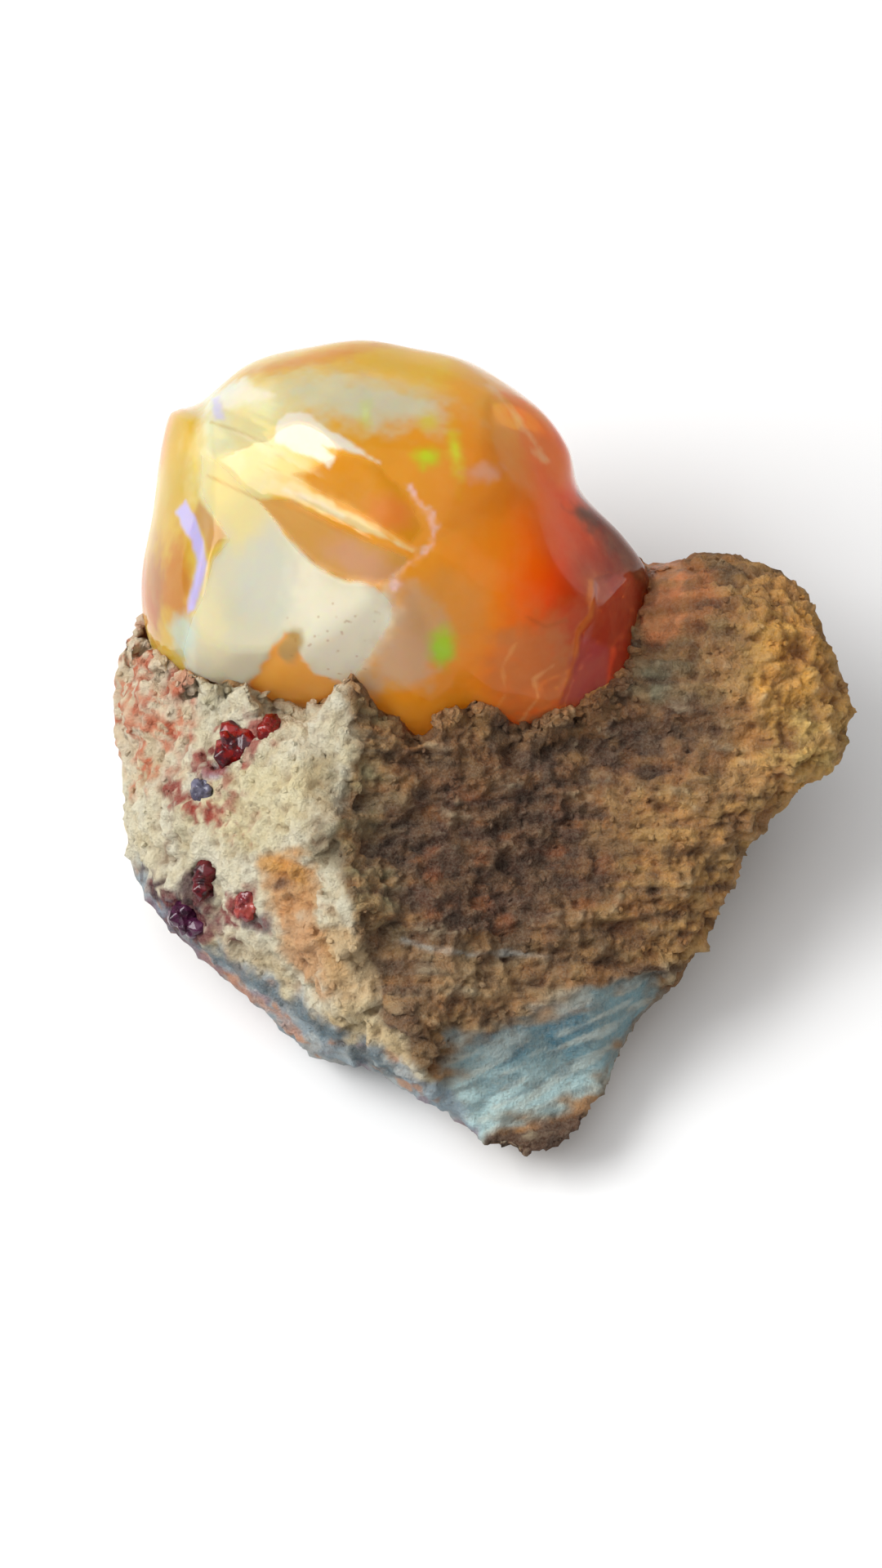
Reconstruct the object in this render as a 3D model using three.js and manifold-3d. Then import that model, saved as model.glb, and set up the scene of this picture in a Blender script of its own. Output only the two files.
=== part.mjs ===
// A rough fire opal still seated in its host rock, laid on its flat broken back.
// Millimetres, +Z up, origin at the middle of the underside's bounding box.
// Every shape is drawn in the "show face" frame: x runs right across the face, y up the face
// and z straight out of it. One group then leans that frame back onto the level underside.
import * as THREE from "three";
import { ImprovedNoise } from "three/addons/math/ImprovedNoise.js";
import { mergeVertices } from "three/addons/utils/BufferGeometryUtils.js";
import Module from "manifold-3d";

const wasm = await Module();
wasm.setup();

// ---- driving dimensions ----
const LEAN = THREE.MathUtils.degToRad(30); // how far the show face tips from level
const BACK_DEPTH = 12; // height of the face frame's origin above the underside
const SEAT_GAP = 0.3; // clearance between any two neighbouring pieces
const OPAL_CENTRE = new THREE.Vector3(-5.5, 11.5, -3);
const OPAL_FRONT = 13.5; // how far the opal bulges towards the face
const OPAL_REAR = 8.2; // and how deep it is rooted in the rock
const OPAL_FULLNESS = 2.4; // 2 is an ellipsoid, more is boxier
const ROCK_MIDDLE = new THREE.Vector2(0.5, -4.4);
const ROCK_UNDERCUT = 0.05; // share by which the near flanks draw in on the way down
const BACK_UNDERCUT = 0.36; // how much more the wall behind the opal draws in

const noise = new ImprovedNoise();

// ---- outlines, as [x, y] across the show face ----
const OPAL_OUTLINE = [
  [-17.2, 21.0], [-14.5, 23.2], [-11.5, 24.2], [-7.5, 24.8], [-4.0, 24.2], [-0.7, 23.4],
  [3.0, 21.0], [5.2, 18.3], [6.0, 15.6], [8.6, 12.8], [10.0, 10.8], [10.5, 8.6],
  [10.0, 5.8], [8.6, 3.0], [5.6, 1.2], [2.5, 0.7], [-0.5, 1.3], [-3.5, 0.2],
  [-7.0, 1.5], [-12.5, 2.3], [-15.0, 3.1], [-17.7, 3.9], [-19.7, 5.4], [-20.6, 7.8],
  [-20.7, 10.6], [-20.1, 14.1], [-19.7, 17.6], [-19.2, 20.0], [-18.6, 20.6],
];
const ROCK_OUTLINE = [
  [-20.6, 8.1], [-22.2, 6.1], [-22.9, 3.5], [-22.8, 1.0], [-22.2, -0.8], [-22.5, -2.4],
  [-21.8, -5.4], [-21.0, -8.9], [-18.5, -11.9], [-15.7, -14.7], [-12.7, -16.7], [-11.7, -17.9],
  [-7.9, -19.2], [-4.5, -21.2], [0.0, -23.9], [1.3, -24.7], [3.8, -24.7], [6.0, -23.2],
  [7.6, -20.2], [9.5, -16.9], [12.8, -13.4], [15.2, -9.9], [16.2, -6.7], [19.3, -3.0],
  [22.0, -0.9], [22.8, 0.8], [21.9, 4.8], [20.5, 8.6], [17.5, 11.4], [14.0, 12.0],
  [10.4, 11.0], [7.6, 12.4], [5.0, 15.6], [1.6, 19.2], [-4.0, 21.4], [-9.5, 21.4],
  [-14.5, 19.4], [-18.2, 15.2], [-19.8, 10.8],
];

// The crest between the pale left face and the hollow right face, as [y, x, z].
const CREST = [
  [20, -8.0, 3.0], [3.5, -8.0, 6.2], [0, -7.8, 7.2], [-4.4, -9.3, 8.0], [-9.4, -8.0, 8.8],
  [-14, -6.2, 9.2], [-20, -2.5, 9.4], [-26, 1.0, 9.6],
];
const LEFT_FACE_SLOPE = 0.46;
const HOLLOW_SLOPE = 0.45;
const HOLLOW_RISE = 0.0125;
const RIM_DROP = 4.2; // how far the face rolls back at its outline
const LEAST_THICKNESS = 5; // of the rock, at its outline
const LUMP_HEIGHT = 0.9;
const LUMP_RATE = 0.24; // lumps a millimetre
const FACE_NOISE_LEVEL = 3.1; // where the face's lumps are read in the noise
const FLANK_LUMPS = 0.07; // how far lumps push the flanks, as a share of the width
const FLANK_LUMP_RATE = 0.16;
const FLANK_NOISE_SPAN = [5.7, 7.5]; // where the flank's lumps are read, at its top and its foot
const UNDERCUT_SPAN = [0, 20]; // up the face, where the wall behind the opal starts and ends drawing in
const DOME_SWELL = 0.25; // height of the opal's broad swellings
const SWELL_ACROSS = { rate: 6.2, shift: 1.1 };
const SWELL_UP = { rate: 6.8, shift: -0.7 };
const BLEB_LUMPS = 0.12; // unevenness of a bleb, as a share of its size
const BLEB_LUMP_RATE = 1.4;

// How finely each shape is divided.
const RIM_STEPS = 360; // points along an outline where its distance from a middle is read
const AROUND = 84; // columns of the rock's mesh round its outline
const FACE_RINGS = 14;
const FACE_CROWDING = 0.85; // below one, the face's rings lie closer towards its outline
const FLANK_RINGS = 7;
const OPAL_DETAIL = 10;
const BLEB_DETAIL = 2;
const HALF_TURN_STEPS = 60; // directions tried in half a turn to find how far the dome stands out

// Rounded swellings (and hollows, below zero) of the rock face: [x, y, width, height].
const SWELLINGS = [
  [16.5, 6.5, 4.5, 2.2], // right lobe
  [-20.5, 3.5, 3.0, 1.4], // left shoulder
  [-15.5, -3.0, 4.0, 0.8], // belly of the left face
  [7.0, 0.0, 4.0, -1.0], // recess below the opal
  [2.5, -23.5, 3.0, 1.0], // lip at the lower point
];
// The shell-shaped scoop near the lower point: centre and radius of the sphere that it follows.
const LOWER_SCOOP = { x: 4.8, y: -19.0, z: 16.2, radius: 11 };

// Flat breaks round the rock's flanks, below the rim of its face: the way each faces.
const ROCK_BREAKS = [
  [-0.86, 0.12, -0.5], [-0.6, 0.62, -0.5], [0.02, 0.86, -0.5], [0.62, 0.66, -0.42],
  [0.9, 0.1, -0.42], [0.72, -0.6, -0.34], [-0.1, -0.92, -0.38], [-0.66, -0.64, -0.4],
];
const BREAK_CLEARANCE = 0.15; // how far outside the rim a break passes

// Flat breaks on the opal: the way each faces, how deep it cuts and how far its edge is rounded.
const OPAL_FLATS = [
  { facing: [-0.365, -0.02, 0.93], depth: 1.5, softness: 0.3 }, // broad pale face
  { facing: [-0.52, 0.46, 0.72], depth: 0.7, softness: 0.6 }, // upper left
  { facing: [0.05, 0.78, 0.62], depth: 0.6, softness: 1.4 }, // brow
  { facing: [0.74, 0.42, 0.52], depth: 1.2, softness: 0.4 }, // upper right
  { facing: [0.93, -0.08, 0.36], depth: 1.0, softness: 0.3 }, // right flank
  { facing: [0.62, -0.42, 0.66], depth: 1.0, softness: 0.5 }, // lower right
  { facing: [0.05, -0.62, 0.78], depth: 0.7, softness: 1.2 }, // below the middle
  { facing: [0.3, 0.72, -0.62], depth: 0.9, softness: 0.4 }, // back, right of the middle
  { facing: [-0.42, 0.68, -0.6], depth: 0.8, softness: 0.5 }, // back, left of the middle
  { facing: [0.85, 0.3, -0.44], depth: 0.8, softness: 0.4 }, // right side, at the back
];
// Shell-shaped breaks: the way from the opal's centre, the scoop's radius and its depth.
const OPAL_SHELLS = [
  { towards: [-0.33, 0.37, 0.87], radius: 7.5, depth: 0.3 },
  { towards: [-0.17, 0.2, 0.965], radius: 8.5, depth: 0.35 },
];
const SHELL_SOFTNESS = 0.3;
// The seam where the small left lobe steps back from the dome, as [x, y] across the face.
const SEAM = [[-17.2, 21.6], [-16.7, 17.0], [-16.7, 13.0], [-17.6, 8.0], [-18.2, 4.0]];
const SEAM_STEP = 0.6;
const SEAM_WIDTH = 0.9;
const SEAM_FADE = 0.45; // the step is whole where the skin faces forward by at least this much
const LEAST_FACING = 0.05; // a flat break doesn't reach directions that face it by less
const BLEB_SINK = 0.45; // share of its half thickness by which a bleb's middle sits in the rock

// Small glassy blebs in pockets of the left face: place across the face, half sizes, turn.
const BLEBS = {
  cherry_bleb: { x: -15.5, y: -0.1, half: [1.3, 0.85, 0.8], turn: 25, colour: 0x8c1414 },
  crimson_bleb: { x: -13.0, y: 1.0, half: [0.5, 0.65, 0.5], turn: -15, colour: 0xa32420 },
  grey_bead: { x: -17.1, y: -2.7, half: [0.5, 0.6, 0.5], turn: 20, colour: 0x77758a },
  garnet_bleb: { x: -17.0, y: -8.4, half: [0.7, 0.8, 0.6], turn: 10, colour: 0x5c1420 },
  violet_bleb: { x: -18.2, y: -10.6, half: [1.3, 0.6, 0.6], turn: -38, colour: 0x5a2848 },
  rose_bleb: { x: -14.3, y: -9.7, half: [0.65, 0.65, 0.5], turn: 0, colour: 0xb04a4a },
};

// ---- helpers ----
function closedCurve(outline) {
  const points = outline.map(([x, y]) => new THREE.Vector3(x, y, 0));
  return new THREE.CatmullRomCurve3(points, true, "catmullrom", 0.5);
}

// A value at y from rows of [y, a, b, ...] that run down the face.
function alongRows(rows, y, column) {
  const next = rows.findIndex((row) => row[0] <= y);
  if (next === 0) return rows[0][column];
  if (next < 0) return rows[rows.length - 1][column];
  const [above, below] = [rows[next - 1], rows[next]];
  const share = (above[0] - y) / (above[0] - below[0]);
  return THREE.MathUtils.lerp(above[column], below[column], share);
}

function undersideDepth(y) {
  return -(BACK_DEPTH + y * Math.sin(LEAN)) / Math.cos(LEAN);
}

function toSolid(geometry) {
  const bare = geometry.clone();
  bare.deleteAttribute("normal");
  bare.deleteAttribute("uv");
  const merged = mergeVertices(bare, 1e-4);
  return new wasm.Manifold(
    new wasm.Mesh({
      numProp: 3,
      vertProperties: new Float32Array(merged.attributes.position.array),
      triVerts: new Uint32Array(merged.index.array),
    }),
  );
}

function toGeometry(solid) {
  const mesh = solid.getMesh();
  const geometry = new THREE.BufferGeometry();
  geometry.setAttribute("position", new THREE.BufferAttribute(mesh.vertProperties, 3));
  geometry.setIndex(new THREE.BufferAttribute(mesh.triVerts, 1));
  geometry.computeVertexNormals();
  return geometry;
}

// ---- opal ----
// Rim of an outline as rows of [angle, distance] about a middle point, from high angle to low.
function polarRim(outline, middle) {
  return closedCurve(outline)
    .getPoints(RIM_STEPS)
    .map((p) => [Math.atan2(p.y - middle.y, p.x - middle.x), Math.hypot(p.x - middle.x, p.y - middle.y)])
    .sort((a, b) => b[0] - a[0]);
}

const opalRim = polarRim(OPAL_OUTLINE, OPAL_CENTRE);
const seamRows = SEAM.map(([x, y]) => [y, x]);

function smoothMin(a, b, softness) {
  const overlap = Math.max(softness - Math.abs(a - b), 0) / softness;
  return Math.min(a, b) - (overlap ** 2 * softness) / 4;
}

// Distance from the opal's centre to the unbroken dome along a unit direction.
function domeReach({ x, y, z }) {
  const across = Math.hypot(x, y);
  const rim = alongRows(opalRim, Math.atan2(y, x), 1);
  const depth = z > 0 ? OPAL_FRONT : OPAL_REAR;
  const sum = (across / rim) ** OPAL_FULLNESS + (Math.abs(z) / depth) ** OPAL_FULLNESS;
  const waveAcross = Math.sin(SWELL_ACROSS.rate * x + SWELL_ACROSS.shift);
  const waveUp = Math.cos(SWELL_UP.rate * y + SWELL_UP.shift);
  return sum ** (-1 / OPAL_FULLNESS) + DOME_SWELL * waveAcross * waveUp * z;
}

// How far the dome stands out along a direction, by trying a ring grid of directions.
function domeSupport(normal) {
  let most = 0;
  const direction = new THREE.Vector3();
  const step = Math.PI / HALF_TURN_STEPS;
  for (let row = 0; row <= HALF_TURN_STEPS; row++)
    for (let column = 0; column < 2 * HALF_TURN_STEPS; column++) {
      direction.setFromSphericalCoords(1, row * step, column * step);
      most = Math.max(most, normal.dot(direction) * domeReach(direction));
    }
  return most;
}

const flats = OPAL_FLATS.map(({ facing, depth, softness }) => {
  const normal = new THREE.Vector3(...facing).normalize();
  return { normal, height: domeSupport(normal) - depth, softness };
});
const shells = OPAL_SHELLS.map(({ towards, radius, depth }) => {
  const way = new THREE.Vector3(...towards).normalize();
  return { centre: way.clone().multiplyScalar(domeReach(way) + radius - depth), radius };
});

// Distance from the opal's centre to its broken skin along a unit direction.
function opalReach(direction) {
  let reach = domeReach(direction);
  for (const { normal, height, softness } of flats) {
    const along = normal.dot(direction);
    if (along > LEAST_FACING) reach = smoothMin(reach, height / along, softness);
  }
  for (const { centre, radius } of shells) {
    const middle = centre.dot(direction);
    const inside = middle ** 2 - centre.lengthSq() + radius ** 2;
    if (middle > 0 && inside > 0)
      reach = smoothMin(reach, middle - Math.sqrt(inside), SHELL_SOFTNESS);
  }
  const x = OPAL_CENTRE.x + direction.x * reach;
  const y = OPAL_CENTRE.y + direction.y * reach;
  const beyond = (alongRows(seamRows, y, 1) - x) / SEAM_WIDTH;
  const step = SEAM_STEP * THREE.MathUtils.smoothstep(direction.z, 0, SEAM_FADE);
  return reach - step * THREE.MathUtils.smoothstep(beyond, -1, 1);
}

function opalGeometry(detail, offset) {
  const geometry = new THREE.IcosahedronGeometry(1, detail);
  const points = geometry.attributes.position;
  const direction = new THREE.Vector3();
  for (let i = 0; i < points.count; i++) {
    direction.fromBufferAttribute(points, i).normalize();
    direction.multiplyScalar(opalReach(direction) + offset).add(OPAL_CENTRE);
    points.setXYZ(i, direction.x, direction.y, direction.z);
  }
  return geometry;
}

// ---- host rock ----
function faceDepth(x, y) {
  const crestX = alongRows(CREST, y, 1);
  const crestZ = alongRows(CREST, y, 2);
  const away = Math.abs(x - crestX);
  let depth = crestZ - LEFT_FACE_SLOPE * away;
  if (x > crestX) depth = crestZ - HOLLOW_SLOPE * away + HOLLOW_RISE * away ** 2;
  for (const [sx, sy, width, height] of SWELLINGS)
    depth += height * Math.exp(-((x - sx) ** 2 + (y - sy) ** 2) / width ** 2);
  const scoop = LOWER_SCOOP.radius ** 2 - (x - LOWER_SCOOP.x) ** 2 - (y - LOWER_SCOOP.y) ** 2;
  if (scoop > 0) depth = Math.min(depth, LOWER_SCOOP.z - Math.sqrt(scoop));
  return depth;
}

const rockRim = polarRim(ROCK_OUTLINE, ROCK_MIDDLE);

// The rock's face, rolled back towards its outline, with its broad lumps.
function rolledDepth(x, y) {
  const angle = Math.atan2(y - ROCK_MIDDLE.y, x - ROCK_MIDDLE.x);
  const share = Math.hypot(x - ROCK_MIDDLE.x, y - ROCK_MIDDLE.y) / alongRows(rockRim, angle, 1);
  const roll = RIM_DROP * (1 - Math.sqrt(Math.max(0, 1 - share ** 4)));
  const lumps = LUMP_HEIGHT * noise.noise(x * LUMP_RATE, y * LUMP_RATE, FACE_NOISE_LEVEL);
  return Math.max(faceDepth(x, y) + lumps - roll, undersideDepth(y) + LEAST_THICKNESS);
}

function rockGeometry() {
  const outline = closedCurve(ROCK_OUTLINE).getSpacedPoints(AROUND).slice(0, AROUND);
  const positions = [ROCK_MIDDLE.x, ROCK_MIDDLE.y, rolledDepth(ROCK_MIDDLE.x, ROCK_MIDDLE.y)];
  const place = (point, share) => [
    THREE.MathUtils.lerp(ROCK_MIDDLE.x, point.x, share),
    THREE.MathUtils.lerp(ROCK_MIDDLE.y, point.y, share),
  ];
  for (let ring = 1; ring <= FACE_RINGS; ring++) {
    const share = (ring / FACE_RINGS) ** FACE_CROWDING;
    for (const point of outline) {
      const [x, y] = place(point, share);
      positions.push(x, y, rolledDepth(x, y));
    }
  }
  for (let ring = 1; ring <= FLANK_RINGS; ring++) {
    const down = ring / FLANK_RINGS;
    for (const point of outline) {
      const rim = rolledDepth(point.x, point.y);
      const [rateX, rateY] = [point.x * FLANK_LUMP_RATE, point.y * FLANK_LUMP_RATE];
      const lumps = noise.noise(rateX, rateY, THREE.MathUtils.lerp(...FLANK_NOISE_SPAN, down));
      const drawnIn = THREE.MathUtils.smoothstep(point.y, ...UNDERCUT_SPAN);
      const undercut = ROCK_UNDERCUT + BACK_UNDERCUT * drawnIn;
      const [x, y] = place(point, 1 - undercut * down ** 2 + FLANK_LUMPS * lumps * Math.sqrt(down));
      positions.push(x, y, THREE.MathUtils.lerp(rim, undersideDepth(y), down));
    }
  }
  positions.push(ROCK_MIDDLE.x, ROCK_MIDDLE.y, undersideDepth(ROCK_MIDDLE.y));
  const rings = FACE_RINGS + FLANK_RINGS;
  const last = 1 + rings * AROUND;
  const index = [];
  for (let i = 0; i < AROUND; i++) {
    const next = (i + 1) % AROUND;
    index.push(0, 1 + i, 1 + next);
    for (let ring = 0; ring < rings - 1; ring++) {
      const [a, b] = [1 + ring * AROUND + i, 1 + ring * AROUND + next];
      const [c, d] = [a + AROUND, b + AROUND];
      index.push(a, c, d, a, d, b);
    }
    index.push(last, last - AROUND + next, last - AROUND + i);
  }
  const geometry = new THREE.BufferGeometry();
  geometry.setAttribute("position", new THREE.Float32BufferAttribute(positions, 3));
  geometry.setIndex(index);
  return geometry;
}

// ---- blebs ----
function blebGeometry({ x, y, half, turn }, offset) {
  const geometry = new THREE.IcosahedronGeometry(1, BLEB_DETAIL);
  const points = geometry.attributes.position;
  const spin = new THREE.Matrix4().makeRotationZ(THREE.MathUtils.degToRad(turn));
  const depth = rolledDepth(x, y) - BLEB_SINK * half[2];
  const p = new THREE.Vector3();
  for (let i = 0; i < points.count; i++) {
    p.fromBufferAttribute(points, i).normalize();
    const rate = BLEB_LUMP_RATE;
    const lumpy = 1 + BLEB_LUMPS * noise.noise(p.x * rate + x, p.y * rate + y, p.z * rate);
    const [halfX, halfY, halfZ] = half.map((size) => size * lumpy + offset);
    p.set(p.x * halfX, p.y * halfY, p.z * halfZ).applyMatrix4(spin);
    points.setXYZ(i, p.x + x, p.y + y, p.z + depth);
  }
  return geometry;
}

function namedMesh(name, geometry, material) {
  const mesh = new THREE.Mesh(geometry, new THREE.MeshStandardMaterial(material));
  mesh.name = name;
  return mesh;
}

// ---- assembly ----
let rock = toSolid(rockGeometry());
const rim = closedCurve(ROCK_OUTLINE).getSpacedPoints(AROUND);
for (const point of rim) point.z = rolledDepth(point.x, point.y);
for (const facing of ROCK_BREAKS) {
  const normal = new THREE.Vector3(...facing).normalize();
  const reach = Math.max(...rim.map((point) => point.dot(normal)));
  rock = rock.trimByPlane(normal.clone().negate().toArray(), -reach - BREAK_CLEARANCE);
}
rock = rock.subtract(toSolid(opalGeometry(OPAL_DETAIL, SEAT_GAP / 2)));
const leaning = new THREE.Group();
const opal = opalGeometry(OPAL_DETAIL, -SEAT_GAP / 2);
leaning.add(namedMesh("opal_nodule", toGeometry(toSolid(opal)), {
  color: 0xd88428, roughness: 0.08, metalness: 0 }));
for (const [name, bleb] of Object.entries(BLEBS)) {
  rock = rock.subtract(toSolid(blebGeometry(bleb, SEAT_GAP)));
  leaning.add(namedMesh(name, toGeometry(toSolid(blebGeometry(bleb, 0))), {
    color: bleb.colour, roughness: 0.12, metalness: 0 }));
}
leaning.add(namedMesh("host_rock", toGeometry(rock), {
  color: 0xb08a5c, roughness: 0.9, metalness: 0 }));
leaning.rotation.x = LEAN;

const specimen = new THREE.Group();
specimen.add(leaning);
specimen.updateMatrixWorld(true);
const box = new THREE.Box3().setFromObject(specimen, true);
leaning.position.set(-(box.min.x + box.max.x) / 2, -(box.min.y + box.max.y) / 2, BACK_DEPTH);

export default specimen;
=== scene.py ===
"""A rough fire opal seated in its host rock: the finish of every surface, in metres."""
import math

import bmesh
import bpy
import numpy as np
from mathutils import Matrix, Vector, noise


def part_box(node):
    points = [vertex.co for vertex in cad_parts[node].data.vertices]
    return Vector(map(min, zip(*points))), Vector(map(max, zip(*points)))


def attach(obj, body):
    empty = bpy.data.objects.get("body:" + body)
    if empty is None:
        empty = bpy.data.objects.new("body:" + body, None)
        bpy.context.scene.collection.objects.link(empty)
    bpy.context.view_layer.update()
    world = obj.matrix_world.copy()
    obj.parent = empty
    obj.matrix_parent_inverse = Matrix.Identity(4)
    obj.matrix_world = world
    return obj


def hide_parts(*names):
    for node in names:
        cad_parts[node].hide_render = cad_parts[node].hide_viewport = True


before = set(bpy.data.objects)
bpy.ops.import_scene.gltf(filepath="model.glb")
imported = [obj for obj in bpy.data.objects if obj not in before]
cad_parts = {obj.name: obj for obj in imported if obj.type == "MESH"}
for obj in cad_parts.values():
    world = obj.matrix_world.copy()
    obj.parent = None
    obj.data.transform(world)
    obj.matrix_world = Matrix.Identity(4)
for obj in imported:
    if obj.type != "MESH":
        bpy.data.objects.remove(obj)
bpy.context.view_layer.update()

# The show face: x runs right across it, y up it and z straight out of it, in millimetres.
LEAN = math.radians(30)
FACE_ORIGIN = (0.1056, 0.1796, 12.0)
MM = 0.001
PER_METRE = 1000.0
FACE_TO_ROW = (
    Matrix.Diagonal((MM, MM, MM, 1)) @ Matrix.Translation(FACE_ORIGIN) @ Matrix.Rotation(LEAN, 4, "X")
)
ROW_TO_FACE = FACE_TO_ROW.inverted()
OUT_OF_FACE = np.array((FACE_TO_ROW.to_3x3() @ Vector((0, 0, 1))).normalized())


# ---- small helpers ----
def colour(code):
    """Linear RGBA from a hex code."""
    parts = [int(code[i:i + 2], 16) / 255 for i in (1, 3, 5)]
    return (*[p / 12.92 if p <= 0.04045 else ((p + 0.055) / 1.055) ** 2.4 for p in parts], 1.0)


def carried(points, matrix):
    """Points times a 4x4 matrix, as an array of rows."""
    m = np.array(matrix)
    return np.asarray(points) @ m[:3, :3].T + m[:3, 3]


def per_vertex(mesh, what="co"):
    """Rows of a mesh's vertex places or normals."""
    out = np.zeros(len(mesh.vertices) * 3)
    mesh.vertices.foreach_get(what, out)
    return out.reshape(-1, 3)


def move_vertices(mesh, points):
    mesh.vertices.foreach_set("co", points.ravel())
    mesh.update()


def mesh_from(shape, name):
    mesh = bpy.data.meshes.new(name)
    shape.to_mesh(mesh)
    shape.free()
    return mesh


def link(name, mesh, replaced=None):
    """A finished piece at the origin, riding on the one body."""
    piece = bpy.data.objects.new(name, mesh)
    bpy.context.scene.collection.objects.link(piece)
    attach(piece, "root")
    if replaced:
        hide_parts(replaced)


def fill(tree, made, inputs):
    """Links or sets a node's inputs."""
    for key, value in inputs.items():
        if isinstance(value, bpy.types.NodeSocket):
            tree.links.new(value, made.inputs[key])
        else:
            made.inputs[key].default_value = value
    return made


def node(tree, kind, inputs=None, **settings):
    """Adds a node, sets its settings, and fills its inputs."""
    made = tree.nodes.new(kind)
    for key, value in settings.items():
        setattr(made, key, value)
    return fill(tree, made, inputs or {})


def maths(tree, operation, *values):
    return node(tree, "ShaderNodeMath", dict(enumerate(values)), operation=operation).outputs[0]


def times(tree, first, second):
    return maths(tree, "MULTIPLY", first, second)


def plus(tree, first, second):
    return maths(tree, "ADD", first, second)


def minus(tree, first, second):
    return maths(tree, "SUBTRACT", first, second)


def mixed(tree, share, first, second, blend="MIX"):
    """Colour first to second by share."""
    return node(tree, "ShaderNodeMix", {0: share, 6: first, 7: second}, data_type="RGBA", blend_type=blend,
                clamp_factor=True).outputs[2]


def spread(tree, value, low, high, to_low=0.0, to_high=1.0):
    """A value's stretch from low to high, smoothly mapped and clamped."""
    return node(tree, "ShaderNodeMapRange", {0: value, 1: low, 2: high, 3: to_low, 4: to_high},
                interpolation_type="SMOOTHSTEP").outputs[0]


def shader_group(name, inputs, outputs):
    """An empty shader group with named number inputs and outputs."""
    group = bpy.data.node_groups.new(name, "ShaderNodeTree")
    for label, default in inputs.items():
        socket = group.interface.new_socket(label, in_out="INPUT", socket_type="NodeSocketFloat")
        socket.default_value = default
    for label in outputs:
        group.interface.new_socket(label, in_out="OUTPUT", socket_type="NodeSocketFloat")
    return group, group.nodes.new("NodeGroupInput").outputs, group.nodes.new("NodeGroupOutput")


def placed_group(tree, group, **inputs):
    made = tree.nodes.new("ShaderNodeGroup")
    made.node_tree = group
    return fill(tree, made, {key.replace("_", " ").capitalize(): inputs[key] for key in inputs}).outputs


def new_material(name):
    made = bpy.data.materials.new(name)
    made.use_nodes = True
    tree = made.node_tree
    shader = next(n for n in tree.nodes if n.type == "BSDF_PRINCIPLED")
    return made, tree, shader


def painted(tree, name, output="Fac"):
    """The value that a mesh carries under a name."""
    return node(tree, "ShaderNodeAttribute", attribute_name=name).outputs[output]


def paint(mesh, name, values):
    layer = mesh.attributes.new(name, "FLOAT", "POINT")
    layer.data.foreach_set("value", np.asarray(values, dtype=np.float32))


# Stores the colour at each point: the body's own colours together with painted light and shade.
def paint_shades(mesh, shades):
    layer = mesh.attributes.new("colour_and_painted_light", "FLOAT_COLOR", "POINT")
    rgba = np.ones((len(shades), 4), dtype=np.float32)
    rgba[:, :3] = np.clip(shades, 0, 1)
    layer.data.foreach_set("color", rgba.ravel())


def eased(share):
    """A share clipped to 0..1 with soft ends."""
    t = np.clip(share, 0, 1)
    return t * t * (3 - 2 * t)


def ramp(value, start, end):
    """0 at the start and 1 at the end of a value's stretch, which may run downwards."""
    return eased((value - start) / (end - start))


def unit(vector):
    return np.array(vector) / np.linalg.norm(vector)


# ---- shape of the opal, as in the CAD model ----
OPAL_CENTRE = np.array([-5.5, 11.5, -3.0])
OPAL_FRONT = 13.5
OPAL_REAR = 8.2
OPAL_FULLNESS = 2.4
DOME_SWELL = 0.25  # height of the low waves that run over the dome
SWELL_ACROSS = (6.2, 1.1)  # their rate and shift
SWELL_UP = (6.8, -0.7)
OPAL_OUTLINE = [
    (-17.2, 21.0), (-14.5, 23.2), (-11.5, 24.2), (-7.5, 24.8), (-4.0, 24.2), (-0.7, 23.4),
    (3.0, 21.0), (5.2, 18.3), (6.0, 15.6), (8.6, 12.8), (10.0, 10.8), (10.5, 8.6),
    (10.0, 5.8), (8.6, 3.0), (5.6, 1.2), (2.5, 0.7), (-0.5, 1.3), (-3.5, 0.2),
    (-7.0, 1.5), (-12.5, 2.3), (-15.0, 3.1), (-17.7, 3.9), (-19.7, 5.4), (-20.6, 7.8),
    (-20.7, 10.6), (-20.1, 14.1), (-19.7, 17.6), (-19.2, 20.0), (-18.6, 20.6),
]
# Flat breaks: the way each faces, how deep it cuts and how far its edge is rounded.
OPAL_FLATS = [
    ((-0.365, -0.02, 0.93), 1.5, 0.3),
    ((-0.52, 0.46, 0.72), 0.7, 0.6),
    ((0.05, 0.78, 0.62), 0.6, 1.4),
    ((0.74, 0.42, 0.52), 1.2, 0.4),
    ((0.93, -0.08, 0.36), 1.0, 0.3),
    ((0.62, -0.42, 0.66), 1.0, 0.5),
    ((0.05, -0.62, 0.78), 0.7, 1.2),
    ((0.3, 0.72, -0.62), 0.9, 0.4),
    ((-0.42, 0.68, -0.6), 0.8, 0.5),
    ((0.85, 0.3, -0.44), 0.8, 0.4),
]
# Shell-shaped breaks: the way from the opal's centre, the scoop's radius and its depth.
OPAL_SHELLS = [((-0.33, 0.37, 0.87), 7.5, 0.3), ((-0.17, 0.2, 0.965), 8.5, 0.35)]
SHELL_SOFTNESS = 0.3
LEAST_FACING = 0.05  # a flat break doesn't reach directions that face it by less
HALF_TURN_STEPS = 60  # directions tried in half a turn to find how far the dome stands out
CURVE_STEPS = 12  # between two points of the outline
# The step back to the small left lobe, which follows a seam given from top to foot.
SEAM = [(-17.2, 21.6), (-16.7, 17.0), (-16.7, 13.0), (-17.6, 8.0), (-18.2, 4.0)]
SEAM_STEP = 0.6
SEAM_WIDTH = 0.9
SEAM_FADE = 0.45  # the step is whole where the skin faces forward by at least this much
SEAT_FILL = 0.2  # the finished opal fills the clearance that the CAD solids keep


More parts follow.
